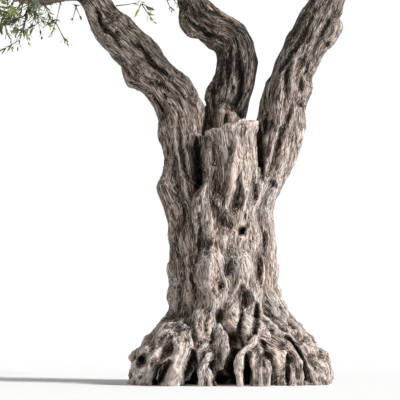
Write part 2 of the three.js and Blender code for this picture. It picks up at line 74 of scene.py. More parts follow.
# The crown: its axis, and the room that is left between masses and round limbs.
CROWN_AXIS = (-0.150, 0.060)
MASS_GAP = 0.012
LIMB_GAP = 0.018

# The limbs, as shares: how far out of the middle of its mass a limb ends, where its knee and elbow are, how
# far its elbow stands aside and up, and its radius beside its bough's. The tip's radius is a size.
ENTRY = 0.88
LIMB_KNEE = 0.3
LIMB_ELBOW = 0.55
ELBOW_ASIDE = 0.06
ELBOW_UP = 0.05
LIMB_GIRTH = 0.74
LIMB_TIP = 0.032

# The stem that goes on from each limb's tip: the radius at its stations beside the tip's, how straight it
# leaves the limb, how far it goes past the middle of its mass, and how far its end rises there.
STEM_GIRTHS = (0.94, 0.80, 0.58, 0.26)
STEM_START = 0.35
STEM_PAST = -0.35
STEM_RISE = 0.12

# The twigs: the turn from one to the next, how many of the source's twigs and of finer ones reach out from
# each stem, where a twig bends, the reaches that are tried, and the share and side of the side twigs.
GOLDEN = 137.508
TWIGS = 8
FINER_TWIGS = 15
FIRST_GIRTH = 0.014
SIDE_GIRTH = 0.006
TWIG_BEND = 0.55
PAST_BEND = 0.45
TWIG_ARCH = 0.1
REACHES = np.arange(0.97, 0.6, -0.03)
ONE_SIDE = ((0.66, 1),)
BOTH_SIDES = ((0.3, -1), (0.66, 1))

# The spray that a twig ends in, and the size of a side twig's.
SPRAY_LENGTH = 0.430
SPRAY_WIDTH = 0.160
SPRAY_WIDEST = 0.42
SIDE_SPRAY = 0.9

# The leafy shoots along the twigs: where the first stands, how long they are, how far they sag and how much
# of them is bare. Every fifth has a longer one beside it that hangs. One that doesn't fit is tried shorter.
FIRST_SHOOT = 0.22
SHOOT_LENGTH = (0.16, 0.34)
SHOOT_SAG = (-0.06, 0.20)
SHOOT_BARE = 0.14
HANGING = 5
HANGING_LENGTH = (0.26, 0.50)
HANGING_SAG = (-0.10, 0.10)
HANGING_BARE = (0.35, 0.8)
END_SHARE = 0.98
END_BARE = 0.10
SHORTER = 0.72
TRIES = 4

# How far a stem starts inside its limb, the radii of shoots and of the young sprigs, and the sprigs' sag
# and seed.
STEM_SUNK = 0.02
SHOOT_GIRTHS = (0.0027, 0.0020, 0.0)
SPRIG_GIRTHS = (0.0042, 0.0028, 0.0)
SPRIG_SAG = -0.08
SPRIG_SEED = 77

# How the leaves' colours are dealt out, how far leaves lean out of their shoot (radians), droop and bend.
LEAF_SHARES = {"deep": 0.26, "green": 0.34, "bright": 0.24, "silver": 0.130, "faded": 0.030}
LEAF_LEAN = (0.35, 0.95)
LEAF_DROOP = 0.25
LEAF_BEND = 0.14

# A leaf's outline: how far along it each corner is, how far aside, and how far it is lifted by the bend.
LEAF_OUTLINE = [
    (0.0, 0.0, 0.0),
    (0.34, 0.5, 0.4),
    (0.34, -0.5, 0.4),
    (0.72, 0.42, 0.1),
    (0.72, -0.42, 0.1),
    (1.0, 0.0, -1.0),
]
LEAF_FACES = [(0, 2, 1), (1, 2, 4), (1, 4, 3), (3, 4, 5)]

# Each bough is a list of stations (x, y, z, radius), from its root to its tip.
BOUGHS = {
    "bough_left": [
        (-0.262, 0.000, 1.150, 0.140),
        (-0.300, 0.000, 1.450, 0.152),
        (-0.318, 0.000, 1.800, 0.158),
        (-0.414, 0.015, 2.040, 0.172),
        (-0.632, 0.040, 2.310, 0.152),
        (-0.858, 0.070, 2.580, 0.132),
        (-0.968, 0.085, 2.770, 0.114),
    ],
    "bough_middle": [
        (0.020, 0.190, 1.150, 0.140),
        (0.010, 0.165, 1.550, 0.146),
        (-0.006, 0.125, 1.870, 0.140),
        (0.066, 0.100, 2.190, 0.154),
        (0.040, 0.090, 2.410, 0.146),
        (-0.125, 0.090, 2.535, 0.132),
        (-0.222, 0.100, 2.680, 0.124),
        (-0.205, 0.130, 2.860, 0.110),
    ],
    "bough_right": [
        (0.175, 0.050, 1.050, 0.125),
        (0.222, 0.045, 1.280, 0.134),
        (0.320, 0.038, 1.500, 0.152),
        (0.398, 0.030, 1.830, 0.158),
        (0.436, 0.020, 2.060, 0.160),
        (0.530, 0.000, 2.290, 0.138),
        (0.632, -0.015, 2.510, 0.132),
        (0.722, -0.020, 2.700, 0.126),
        (0.800, -0.020, 2.860, 0.114),
    ],
}

# Swellings along a bough: the shares of its length where each starts and ends, the direction it stands out
# in, how far its middle stands out, and its radius there.
BURLS = {
    "bough_left": [
        (0.53, 0.71, (-0.75, -0.2, -0.65), 0.080, 0.110),
        (0.28, 0.50, (-0.95, -0.3, 0.0), 0.062, 0.108),
        (0.06, 0.32, (-0.9, -0.5, 0.0), 0.055, 0.118),
        (0.27, 0.52, (0.95, 0.1, -0.1), 0.104, 0.108),
    ],
    "bough_middle": [
        (0.30, 0.62, (-1.0, -0.3, 0.0), 0.062, 0.096),
        (0.62, 0.90, (-0.6, -0.5, -0.6), 0.078, 0.106),
    ],
    "bough_right": [
        (0.28, 0.52, (0.9, -0.5, 0.0), 0.060, 0.108),
        (0.12, 0.34, (0.9, 0.3, 0.0), 0.046, 0.104),
        (0.50, 0.74, (-0.3, -0.9, 0.0), 0.050, 0.116),
    ],
}

# Dips and swellings of the outline: the middle, the reach and the depth (negative stands out).
DIPS = [
    ((-0.600, 0.020, 1.990), 0.105, 0.044),
    ((-0.520, 0.020, 1.885), 0.090, 0.036),
    ((0.270, -0.020, 2.080), 0.080, -0.016),
    ((-0.470, -0.040, 1.885), 0.065, 0.050),
    ((-0.540, -0.060, 1.955), 0.085, 0.060),
    ((-0.440, 0.000, 1.090), 0.080, 0.024),
    ((-0.420, 0.000, 0.712), 0.070, 0.034),
    ((-0.500, -0.020, 1.290), 0.120, -0.020),
    ((-0.500, 0.000, 1.760), 0.080, -0.024),
    ((0.560, 0.020, 1.780), 0.100, -0.030),
    ((0.390, 0.030, 1.230), 0.080, -0.020),
    ((0.380, 0.000, 0.700), 0.110, -0.024),
    ((0.400, -0.020, 2.400), 0.120, -0.034),
    ((0.780, -0.020, 2.520), 0.120, -0.030),
    ((-0.650, 0.030, 2.090), 0.080, -0.030),
    ((-0.155, -0.160, 1.400), 0.090, 0.040),
    ((-0.300, 0.000, 2.215), 0.070, 0.018),
    ((-0.580, -0.060, 0.345), 0.080, 0.050),
    ((-0.670, -0.120, 0.175), 0.080, 0.034),
    ((-0.690, -0.120, 0.080), 0.080, 0.020),
    ((-0.190, 0.000, 2.000), 0.100, -0.032),
    ((-0.090, 0.080, 2.080), 0.070, -0.036),
]

# Painted shade of the crown, with darker weathered bark: how much darker the bark grows with height on each
# bough and on the limbs, and the most that it can be.
SHADED = {"trunk": 0.0, "bough_left": 0.15, "bough_middle": 1.35, "bough_right": 0.78}
LIMB_SHADE = 0.8
MOST_SHADE = 1.45

# The burl round the pruned stub of the right bough.
PRUNED_STUB = [
    (0.728, -0.045, 2.595, 0.046),
    (0.730, -0.062, 2.480, 0.090),
    (0.668, -0.058, 2.390, 0.078),
    (0.618, -0.048, 2.290, 0.068),
    (0.588, -0.045, 2.180, 0.060),
]

# Splinters that stand up behind the saw cut.
SPLINTERS = [
    [(-0.028, -0.025, 1.680, 0.046), (-0.024, -0.045, 1.925, 0.036)],
    [(0.056, -0.015, 1.680, 0.062), (0.060, -0.035, 1.905, 0.048)],
    [(0.100, 0.010, 1.680, 0.050), (0.106, -0.005, 1.860, 0.036)],
]

# The stump, with a point on its saw cut, and how the cut slopes to the left and leans to the front.
STUMP = [
    (0.014, -0.110, 0.700, 0.172),
    (0.030, -0.140, 1.100, 0.194),
    (0.038, -0.155, 1.450, 0.186),
    (0.038, -0.155, 1.900, 0.206),
]
SAW_CUT = {"at": (0.046, -0.155, 1.785), "slope": 12.0, "lean": -2.0}

# The cords that the trunk is fused from: azimuth of the foot (0 front, 90 right), reach of the foot, height
# of the rise, azimuth and distance at the waist, radius there and at the toe, how many toes, and what it
# feeds.
Cord = namedtuple("Cord", "foot reach rise waist ring girth toe_girth toes feeds")
CORDS = [Cord(*row) for row in [
    (-86, 0.610, 0.430, -86, 0.272, 0.124, 0.092, 2, "bough_left"),
    (-38, 0.590, 0.540, -58, 0.222, 0.104, 0.076, 0, "bough_left"),
    (-17, 0.545, 0.420, -16, 0.210, 0.150, 0.040, 0, "stump"),
    (39, 0.570, 0.560, 24, 0.205, 0.136, 0.080, 1, "stump"),
    (57, 0.600, 0.520, 54, 0.250, 0.104, 0.066, 0, "bough_right"),
    (82, 0.630, 0.640, 86, 0.286, 0.116, 0.096, 2, "bough_right"),
    (118, 0.560, 0.500, 122, 0.248, 0.122, 0.082, 1, "bough_right"),
    (150, 0.620, 0.640, 152, 0.245, 0.112, 0.066, 1, "bough_middle"),
    (180, 0.540, 0.440, 181, 0.262, 0.126, 0.086, 2, "bough_middle"),
    (-147, 0.630, 0.600, -150, 0.244, 0.112, 0.068, 1, "bough_middle"),
    (-120, 0.580, 0.500, -120, 0.254, 0.124, 0.080, 1, "bough_left"),
]]

# The head of a cord: height, its share of the cord's radius, and how far it stands proud of the limb, in
# radii.
CORD_HEAD = [(1.400, 0.90, 0.30), (1.620, 0.62, 0.10), (1.800, 0.40, -0.22)]

# The heights of a cord's other stations, where it is out at its foot, and how far and over what height it
# sways and swells.
CORD_HEIGHTS = [BURIED, 0.090, 0.200, 0.320, 0.450, 0.600, 0.780, 0.980, 1.200]
ANKLE = 0.100
SWAY = 7.0
SWAY_HEIGHT = 0.110
SWELL = 0.15
SWELL_HEIGHT = 0.070

# The toes: the station of the cord that they fork from and how far below it, the turn between them, the
# height of their bend and how uneven it is, and the height from which they stand upright.
KNEE = 4
TOE_DROP = 0.020
TOE_SPREAD = 17.0
TOE_BEND = 0.170
TOE_UNEVEN = 0.040
TOE_HEIGHT = 0.060

# Knobs that stand out of the trunk: azimuth, distance, height, radius, and how far each runs out downwards.
# Each tapers over its height, and its ends are sunk.
KNOB_HEIGHT = 0.150
KNOB_SUNK = 0.030
KNOBS = [
    (-87, 0.312, 1.230, 0.110, 0.00),
    (-90, 0.316, 0.870, 0.104, 0.00),
    (-84, 0.326, 0.500, 0.086, 0.00),
    (-88, 0.410, 0.360, 0.084, 0.10),
    (84, 0.420, 0.410, 0.092, 0.16),
    (92, 0.300, 0.600, 0.100, 0.04),
    (-25, 0.290, 0.700, 0.096, 0.00),
    (150, 0.380, 0.420, 0.100, 0.10),
    (-130, 0.370, 0.440, 0.096, 0.10),
    (178, 0.306, 0.900, 0.106, 0.00),
]

# Roots that arch out: azimuth and rise of the start, azimuth and reach of the foot, radius. Most are thin,
# and each kind has its own radii at hip, thigh, knee and heel, as shares.
STOUT_GIRTH = 0.05
THIN_ROOT = (1.60, 1.35, 1.10, 0.98)
STOUT_ROOT = (1.25, 0.90, 1.15, 1.0)
ROOTS = [
    (36, 0.370, 9, 0.620, 0.027),
    (27, 0.300, 18, 0.600, 0.021),
    (30, 0.230, 27, 0.620, 0.024),
    (48, 0.320, 50, 0.640, 0.036),
    (-9, 0.240, -16, 0.600, 0.026),
    (-60, 0.260, -64, 0.640, 0.040),
    (-72, 0.330, -74, 0.540, 0.105),
    (70, 0.340, 70, 0.560, 0.095),
    (132, 0.340, 134, 0.600, 0.044),
    (-165, 0.360, -168, 0.620, 0.036),
]

# The mass on the front left flank of the foot.
FLANK = [
    (-0.255, -0.150, 0.440, 0.060),
    (-0.320, -0.240, 0.355, 0.084),
    (-0.396, -0.290, 0.265, 0.102),
    (-0.500, -0.300, 0.140, 0.108),
    (-0.545, -0.300, 0.020, 0.096),
    (-0.550, -0.300, BURIED, 0.092),
]

# The pointed shard that hangs over the caves.
SHARD = [
    (-0.044, -0.400, 0.450, 0.016),
    (-0.040, -0.420, 0.375, 0.024),
    (-0.037, -0.440, 0.305, 0.046),
    (-0.033, -0.455, 0.235, 0.062),
    (-0.036, -0.455, 0.165, 0.042),
    (-0.030, -0.450, 0.105, 0.020),
]

# The web of wood between the left bough and the middle one.
WEB = [
    (-0.130, 0.080, 1.050, 0.110),
    (-0.150, 0.085, 1.450, 0.095),
    (-0.155, 0.085, 1.930, 0.048),
]

# The heart of the trunk, which the cords stand round.
HEART = [
    (-0.005, 0.020, BURIED, 0.300),
    (-0.010, 0.020, 0.320, 0.290),
    (WAIST_CENTRE_X, 0.020, 0.800, 0.270),
    (WAIST_CENTRE_X, 0.020, 1.290, 0.250),
]

# Ribs along a tube: how many, how deep, and how far they turn.
PLAIN = (0, 0.0, 0.0)
STUMP_RIBS = (5, 0.05, 0.6)
FLANK_RIBS = (5, 0.05, 1.0)
SHARD_RIBS = (3, 0.24, 0.5)
BOUGH_RIBS = (4, 0.06, 2.4)

# Young sprigs on the boughs beside the photo's upper edge: start, end, and the share of each that is bare.
SPRIGS = [
    ((-0.770, 0.020, 2.655), (-0.574, -0.040, 2.660), 0.55),
    ((-0.590, -0.035, 2.660), (-0.623, -0.050, 2.576), 0.20),
    ((-0.585, -0.035, 2.660), (-0.497, -0.060, 2.513), 0.30),
    ((-0.578, -0.040, 2.660), (-0.511, 0.000, 2.625), 0.10),
    ((-0.290, 0.080, 2.705), (-0.413, 0.020, 2.695), 0.60),
    ((-0.408, 0.022, 2.695), (-0.371, 0.000, 2.604), 0.30),
    ((-0.360, 0.045, 2.700), (-0.329, 0.000, 2.650), 0.30),
    ((-0.960, 0.030, 2.665), (-1.057, -0.020, 2.646), 0.60),
    ((-1.050, -0.016, 2.646), (-1.008, -0.030, 2.541), 0.50),
    ((-1.045, -0.014, 2.648), (-1.078, -0.030, 2.520), 0.55),
    ((-1.160, 0.065, 2.700), (-1.192, 0.005, 2.515), 0.75),
    ((-1.190, 0.012, 2.530), (-1.106, -0.020, 2.366), 0.50),
    ((-1.185, 0.020, 2.560), (-1.228, -0.020, 2.420), 0.45),
    ((-1.150, 0.002, 2.450), (-1.120, -0.025, 2.400), 0.30),
]

# The masses of the crown: azimuth and distance from its axis, height, reach to the sides and up, the bough
# that feeds each, where its limb forks from that bough, the seed of its twigs, and the limb's radius where
# given.
Mass = namedtuple("Mass", "azimuth distance height side rise bough fork seed girth")
MASSES = {name: Mass(*row) for name, row in {
    "left": (-90, 1.700, 2.950, 0.850, 0.690, "bough_left", 0.87, 140, 0.054),
    "left_front": (-44, 1.620, 3.230, 0.820, 0.620, "bough_left", 0.80, 45, None),
    "left_back": (-136, 1.620, 3.480, 0.820, 0.620, "bough_left", 0.92, 95, None),
    "upper_left": (-62, 0.900, 4.060, 0.820, 0.600, "bough_left", 0.97, 57, None),
    "front": (2, 1.620, 3.180, 0.800, 0.600, "bough_middle", 0.88, 4, None),
    "back": (178, 1.620, 3.640, 0.820, 0.600, "bough_middle", 0.93, 58, None),
    "upper_back": (176, 0.860, 4.260, 0.820, 0.580, "bough_middle", 0.96, 7, None),
    "top": (20, 0.120, 4.560, 0.780, 0.540, "bough_middle", 0.99, 38, None),
    "right_front": (47, 1.620, 3.240, 0.820, 0.620, "bough_right", 0.82, 39, None),
    "right": (92, 1.850, 3.290, 0.850, 0.640, "bough_right", 0.88, 9, None),
    "right_back": (137, 1.620, 3.560, 0.820, 0.620, "bough_right", 0.92, 58, None),
    "upper_right": (62, 0.900, 4.120, 0.820, 0.600, "bough_right", 0.97, 11, None),
}.items()}

# The eye that sees the front, the height that it looks at, the camera's sensor in millimetres and how far
# it sees, the floor's radius, and where the key light comes from and how wide it looks.
EYE = (-0.175, -14.0, 0.500)
AIM_HEIGHT = 1.281
SENSOR = 36
FAR_CLIP = 1000
FLOOR_RADIUS = 300
KEY_FROM = (0.92, -0.48, 0.58)
KEY_WIDTH = 14

# Carving of the front, drawn on the upright plane y = 0 as the eye sees it: half width, depth
# (negative stands out), and the points (x, z) of the stroke.
STROKES = [
    # The hollow beside the stump and the fissure below it
    (0.035, 0.120, [(-0.203, 1.701), (-0.182, 1.575), (-0.161, 1.449), (-0.196, 1.323)]),
    (0.018, 0.060, [(-0.182, 1.190), (-0.172, 1.050), (-0.182, 0.917), (-0.217, 0.826), (-0.228, 0.735),
                    (-0.203, 0.630), (-0.210, 0.567)]),
    (0.013, 0.026, [(-0.294, 1.288), (-0.284, 1.169), (-0.284, 1.001)]),
    # The left stem
    (0.017, 0.034, [(-0.322, 1.911), (-0.322, 1.771), (-0.311, 1.652), (-0.287, 1.547), (-0.259, 1.435)]),
    (0.013, 0.020, [(-0.352, 1.631), (-0.350, 1.428)]),
    (0.021, -0.020, [(-0.315, 1.526), (-0.287, 1.386), (-0.252, 1.232)]),
    (0.017, 0.030, [(-0.455, 1.722), (-0.427, 1.533)]),
    (0.025, 0.020, [(-0.385, 0.903), (-0.357, 0.805), (-0.343, 0.749)]),
    (0.018, 0.034, [(-0.315, 0.700), (-0.308, 0.581), (-0.315, 0.469)]),
    (0.017, 0.026, [(-0.287, 0.581), (-0.266, 0.406)]),
    # The stump: tongue, the hollows beside it, scar, buttress and the clefts at its sides
    (0.027, -0.040, [(0.084, 1.722), (0.070, 1.610), (0.045, 1.449), (0.028, 1.323), (0.004, 1.218)]),
    (0.056, 0.026, [(-0.077, 1.449), (-0.091, 1.337), (-0.077, 1.239)]),
    (0.032, 0.034, [(0.091, 1.351), (0.084, 1.253), (0.056, 1.190)]),
    (0.011, 0.030, [(0.091, 1.428), (0.105, 1.365), (0.126, 1.288)]),
    (0.017, -0.020, [(0.102, 1.708), (0.105, 1.533), (0.140, 1.323), (0.158, 1.127)]),
    (0.028, 0.024, [(0.203, 1.435), (0.207, 1.337), (0.203, 1.246)]),
    (0.010, 0.026, [(0.189, 1.449), (0.210, 1.351), (0.203, 1.253)]),
    (0.018, -0.022, [(0.224, 1.631), (0.231, 1.533), (0.256, 1.386), (0.210, 1.211)]),
    (0.021, -0.030, [(-0.126, 1.449), (-0.172, 1.344), (-0.220, 1.274), (-0.252, 1.218)]),
    (0.021, -0.014, [(-0.112, 1.687), (-0.119, 1.561)]),
    (0.014, 0.016, [(-0.084, 1.687), (-0.091, 1.505)]),
    (0.024, 0.100, [(0.238, 1.799), (0.245, 1.596), (0.259, 1.421)]),
    # The ledge and the knot hole
    (0.045, 0.045, [(-0.091, 1.253), (-0.035, 1.134), (0.035, 1.099)]),
    (0.018, -0.030, [(-0.119, 1.106), (-0.098, 1.071)]),
    (0.014, 0.012, [(-0.063, 1.057), (-0.021, 1.043), (0.021, 1.057)]),
    (0.040, -0.044, [(-0.077, 1.008), (-0.021, 0.994), (0.035, 1.015)]),
    (0.021, -0.016, [(0.042, 1.057), (0.077, 1.099)]),
    (0.040, 0.100, [(0.105, 1.075), (0.133, 1.050)]),
    (0.018, 0.040, [(0.091, 1.057), (0.154, 1.085)]),
    (0.021, 0.020, [(0.133, 1.008), (0.133, 0.917)]),
    (0.032, 0.032, [(-0.137, 1.029), (-0.137, 0.917)]),
    # Right of the middle
    (0.028, 0.075, [(0.273, 1.036), (0.238, 0.861), (0.235, 0.742), (0.259, 0.672)]),
    (0.025, 0.032, [(0.035, 0.847), (0.021, 0.791), (0.000, 0.749)]),
    (0.022, 0.038, [(-0.021, 0.707), (-0.035, 0.651)]),
    (0.035, 0.060, [(0.119, 0.665), (0.119, 0.581), (0.126, 0.511)]),
    (0.021, -0.030, [(0.105, 0.714), (0.063, 0.630), (0.021, 0.553)]),
    (0.025, -0.030, [(0.133, 0.714), (0.182, 0.637), (0.224, 0.567)]),
    (0.025, 0.034, [(0.315, 1.414), (0.357, 1.365)]),
    (0.018, -0.020, [(0.280, 1.379), (0.259, 1.309), (0.231, 1.239)]),
    (0.021, 0.020, [(0.280, 1.666), (0.315, 1.561)]),
    # The bulge of the middle cord, with its lip
    (0.056, -0.030, [(-0.140, 0.875), (-0.147, 0.735), (-0.133, 0.581)]),
    (0.021, -0.022, [(-0.077, 1.001), (-0.105, 0.805), (-0.105, 0.686), (-0.077, 0.511)]),
    (0.011, 0.022, [(-0.168, 0.896), (-0.119, 0.903)]),
    (0.042, -0.020, [(-0.161, 0.497), (-0.154, 0.301)]),
    (0.011, 0.020, [(-0.182, 0.497), (-0.175, 0.336)]),
    (0.011, 0.018, [(-0.140, 0.483), (-0.133, 0.315)]),
    (0.028, 0.050, [(-0.038, 0.504), (-0.042, 0.434)]),
    # Caves and ridges of the roots
    (0.016, 0.090, [(0.119, 0.567), (0.112, 0.434), (0.098, 0.364), (0.126, 0.245)]),
    (0.035, -0.020, [(0.154, 0.511), (0.154, 0.371), (0.147, 0.273)]),
    (0.020, 0.100, [(0.224, 0.560), (0.217, 0.420), (0.189, 0.266)]),
    (0.035, 0.100, [(0.056, 0.371), (0.070, 0.259)]),
    (0.049, 0.200, [(0.070, 0.231), (0.056, 0.119), (0.063, -0.049)]),
    (0.049, 0.200, [(-0.028, 0.063), (-0.021, -0.049)]),
    (0.042, 0.200, [(-0.224, 0.217), (-0.238, 0.105), (-0.245, -0.049)]),
    (0.030, 0.220, [(-0.385, 0.147), (-0.437, 0.084), (-0.476, 0.007), (-0.483, -0.049)]),
    (0.036, 0.120, [(-0.560, 0.189), (-0.602, 0.126)]),
    (0.018, -0.030, [(-0.385, 0.301), (-0.504, 0.203), (-0.581, 0.084), (-0.644, 0.014)]),
    (0.012, 0.018, [(-0.490, 0.182), (-0.539, 0.105), (-0.588, 0.028)]),
    (0.040, -0.060, [(-0.400, 0.277), (-0.455, 0.217), (-0.511, 0.154), (-0.532, 0.070)]),
    (0.012, 0.016, [(-0.364, 0.364), (-0.455, 0.301), (-0.560, 0.240)]),
    (0.020, 0.070, [(0.420, 0.343), (0.448, 0.273), (0.476, 0.217)]),
    (0.022, 0.140, [(0.147, 0.196), (0.154, 0.098), (0.154, -0.049)]),
    (0.056, -0.050, [(-0.308, 0.266), (-0.315, 0.161), (-0.385, 0.007)]),
    (0.021, 0.110, [(0.455, 0.315), (0.497, 0.231), (0.532, 0.147), (0.546, -0.049)]),
    (0.015, 0.060, [(0.434, 0.175), (0.434, 0.077), (0.441, -0.049)]),
    (0.018, 0.070, [(0.259, 0.301), (0.280, 0.231)]),
    (0.018, 0.050, [(0.280, 0.091), (0.287, -0.049)]),
    (0.014, 0.040, [(0.630, 0.112), (0.644, -0.049)]),
    (0.017, 0.050, [(0.161, 0.175), (0.161, -0.049)]),
    (0.028, -0.026, [(0.364, 0.441), (0.364, 0.231), (0.371, -0.007)]),
    # The right bough
    (0.015, 0.036, [(0.636, 2.632), (0.602, 2.536), (0.532, 2.401), (0.459, 2.303), (0.385, 2.184)]),
    (0.018, -0.020, [(0.740, 2.618), (0.651, 2.480), (0.602, 2.359), (0.564, 2.233), (0.515, 2.121)]),
    (0.018, -0.020, [(0.546, 2.359), (0.490, 2.282), (0.483, 2.167), (0.467, 2.037), (0.483, 1.960)]),
    (0.020, 0.034, [(0.564, 2.303), (0.532, 2.205)]),
    (0.016, 0.034, [(0.742, 2.548), (0.700, 2.492), (0.679, 2.429)]),
    (0.014, 0.034, [(0.735, 2.401), (0.714, 2.359)]),
    (0.020, 0.034, [(0.539, 2.135), (0.532, 2.037)]),
    (0.020, 0.050, [(0.525, 1.953), (0.546, 1.946)]),
    (0.015, 0.026, [(0.451, 2.247), (0.427, 2.121), (0.434, 1.960)]),
    (0.022, 0.046, [(0.467, 1.932), (0.427, 1.827), (0.385, 1.715), (0.357, 1.617), (0.301, 1.449)]),
    (0.018, 0.070, [(0.298, 1.897), (0.280, 1.778), (0.250, 1.715)]),
    (0.014, 0.040, [(0.336, 1.848), (0.306, 1.771)]),
    (0.013, 0.026, [(0.588, 2.261), (0.560, 2.163)]),
    # The left bough
    (0.015, 0.042, [(-0.910, 2.641), (-0.884, 2.555), (-0.844, 2.486), (-0.784, 2.433), (-0.736, 2.366)]),
    (0.011, 0.030, [(-0.770, 2.485), (-0.746, 2.450)]),
    (0.017, 0.040, [(-0.658, 2.394), (-0.569, 2.345), (-0.522, 2.254), (-0.441, 2.184), (-0.382, 2.152)]),
    (0.011, 0.026, [(-0.735, 2.282), (-0.690, 2.191), (-0.651, 2.128)]),
    (0.013, 0.028, [(-0.602, 2.184), (-0.525, 2.114), (-0.441, 2.093), (-0.378, 2.011)]),
    (0.013, 0.030, [(-0.672, 2.121), (-0.616, 2.086), (-0.588, 2.058)]),
    (0.020, 0.060, [(-0.490, 1.995), (-0.441, 1.960), (-0.413, 1.897), (-0.434, 1.855)]),
    (0.015, 0.034, [(-0.428, 2.044), (-0.415, 1.991)]),
    (0.011, 0.024, [(-0.315, 2.037), (-0.254, 1.984), (-0.196, 1.932)]),
    (0.014, -0.016, [(-0.441, 2.072), (-0.385, 1.995), (-0.329, 1.925)]),
    # The middle bough
    (0.013, 0.040, [(-0.280, 2.569), (-0.193, 2.499), (-0.128, 2.457), (-0.042, 2.432), (0.033, 2.384)]),
    (0.015, 0.040, [(0.042, 2.359), (0.025, 2.233), (0.025, 2.072)]),
    (0.011, -0.024, [(0.067, 2.247), (0.073, 2.121), (0.070, 2.037), (0.033, 1.960)]),
    (0.021, 0.060, [(0.095, 2.338), (0.105, 2.233), (0.119, 2.121), (0.098, 2.016), (0.049, 1.918)]),
    (0.014, -0.020, [(0.042, 2.457), (0.098, 2.415), (0.130, 2.317), (0.137, 2.233)]),
    (0.021, -0.016, [(0.175, 2.345), (0.210, 2.233), (0.175, 2.037), (0.112, 1.911)]),
    (0.014, 0.034, [(-0.147, 2.618), (-0.063, 2.601), (0.033, 2.545), (0.130, 2.450)]),
    (0.011, 0.030, [(-0.168, 2.681), (-0.161, 2.625)]),
    (0.011, 0.024, [(-0.021, 2.219), (-0.028, 2.065)]),
    (0.014, 0.030, [(-0.084, 2.093), (-0.077, 1.897)]),
    (0.015, 0.060, [(0.004, 1.890), (0.004, 1.792)]),
]

# Worn, pale and pinkish wood, and painted highlights on ridges and faces that catch the key light, drawn the
# same
# way: half width, strength, and the points of the patch.
WORN_AND_LIT = [
    (0.025, 1.000, [(-0.238, 1.029), (-0.217, 0.952)]),
    (0.042, 0.800, [(-0.007, 1.897), (0.063, 1.813)]),
    (0.049, 0.600, [(-0.063, 2.541), (0.021, 2.597), (0.105, 2.527)]),
    (0.035, 0.800, [(-0.301, 0.259), (-0.371, 0.007)]),
    (0.028, 0.900, [(0.049, 0.217), (0.042, 0.147)]),
    (0.034, 1.000, [(0.084, 1.680), (0.056, 1.456), (0.007, 1.211)]),
    (0.048, 0.800, [(-0.049, 1.036), (-0.063, 0.896), (-0.070, 0.756)]),
    (0.042, 0.600, [(-0.147, 0.483), (-0.147, 0.287)]),
    (0.021, 1.000, [(-0.112, 1.085), (-0.035, 1.043), (0.042, 1.043)]),
    (0.025, 0.600, [(0.259, 0.847), (0.301, 0.581)]),
    (0.028, 0.600, [(0.357, 0.336), (0.385, -0.007)]),
    (0.012, 0.900, [(0.343, 0.406), (0.357, 0.273), (0.364, 0.147)]),
    (0.017, 0.700, [(-0.077, 0.805), (-0.056, 0.539)]),
    (0.017, 0.700, [(0.098, 0.686), (-0.042, 0.532)]),
    (0.014, 0.600, [(0.756, 2.625), (0.665, 2.471), (0.616, 2.366), (0.581, 2.261)]),
    (0.014, 0.500, [(0.504, 2.310), (0.483, 2.190), (0.476, 2.050)]),
]

# Painted shade on faces turned from the key light, and in a few places stained bark, drawn the same way.
PAINTED_SHADE_AND_STAINS = [
    (0.030, 0.450, [(-0.510, 0.205), (-0.455, 0.262)]),
    (0.022, 0.500, [(-0.235, 0.300), (-0.258, 0.200), (-0.285, 0.090)]),
    (0.050, 0.450, [(-0.440, 0.390), (-0.350, 0.412), (-0.250, 0.380)]),
    (0.055, 0.700, [(0.602, 2.690), (0.560, 2.530), (0.504, 2.400), (0.441, 2.260)]),
    (0.058, 0.600, [(-0.077, 1.694), (-0.063, 1.435), (-0.077, 1.274), (-0.035, 1.127)]),
    (0.070, 0.900, [(-0.084, 1.358), (-0.070, 1.232), (-0.049, 1.134), (-0.028, 1.064)]),
    (0.034, 1.000, [(0.098, 1.407), (0.098, 1.253), (0.063, 1.150), (0.021, 1.057)]),
    (0.050, 0.800, [(-0.400, 0.500), (-0.330, 0.470), (-0.280, 0.410)]),
    (0.060, 0.600, [(-0.330, 0.430), (-0.434, 0.300), (-0.546, 0.231)]),
    (0.040, 0.700, [(-0.021, 0.378), (-0.007, 0.126)]),
    (0.032, 0.900, [(-0.144, 1.057), (-0.130, 0.903)]),
    (0.060, 0.600, [(-0.140, 0.210), (-0.182, 0.000)]),
    (0.040, 0.500, [(-0.168, 0.399), (-0.119, 0.245)]),
    (0.030, 0.700, [(0.035, 0.910), (0.000, 0.805), (-0.028, 0.665)]),
]

# The forms of the wood: width, length along the wood, start of the noise, and height.
LUMPS = (0.24, 0.24, 0.0, 0.045)
SMALL_LUMPS = (0.11, 0.17, 9.0, 0.026)
WANDER = (0.15, 0.15, 3.0, 0.018)
RIM_WAVES = (0.070, 0.070, 80.0, 0.050)
RIM_TEETH = (0.020, 0.020, 81.0, 0.012)

# Strands of three sizes and the finest hairs of the bark: width, length and start of the noise. Their
# heights are among the settings.
STRANDS = (0.110, 0.70, 5.0)
SMALL_STRANDS = (0.046, 0.36, 11.0)
FIBRES = (0.018, 0.16, 17.0)
HAIRS = (0.008, 0.05, 23.0)

# Where strands stand out more and less: size and start of the noise, and the least and the added share.
STRAND_PATCHES = (0.30, 60.0, 0.55, 1.2)
SMALL_STRAND_PATCHES = (0.20, 61.0, 0.5, 1.3)

# Scars and pits, and the crags of the foot: width, length, start of the noise, the value that they start
# from, and height.
SCARS = (0.060, 0.20, 70.0, 0.34, -0.09)
PITS = (0.024, 0.06, 31.0, 0.32, -0.020)
CRAGS = (0.13, 0.17, 90.0, 0.22, 0.13)
SMALL_CRAGS = (0.06, 0.06, 91.0, 0.20, 0.05)

# The tubes before they are joined: sides and spacing of the rings. Then how finely and how far a tube is
# looked for round a point, a distance that is always too far, and how many points are looked at together.
TUBE_SIDES = 24
TUBE_STEP = 0.05
RING_STEP = 0.02
TUBE_REACH = 0.16
FAR = 9.0
BLOCK = 20000

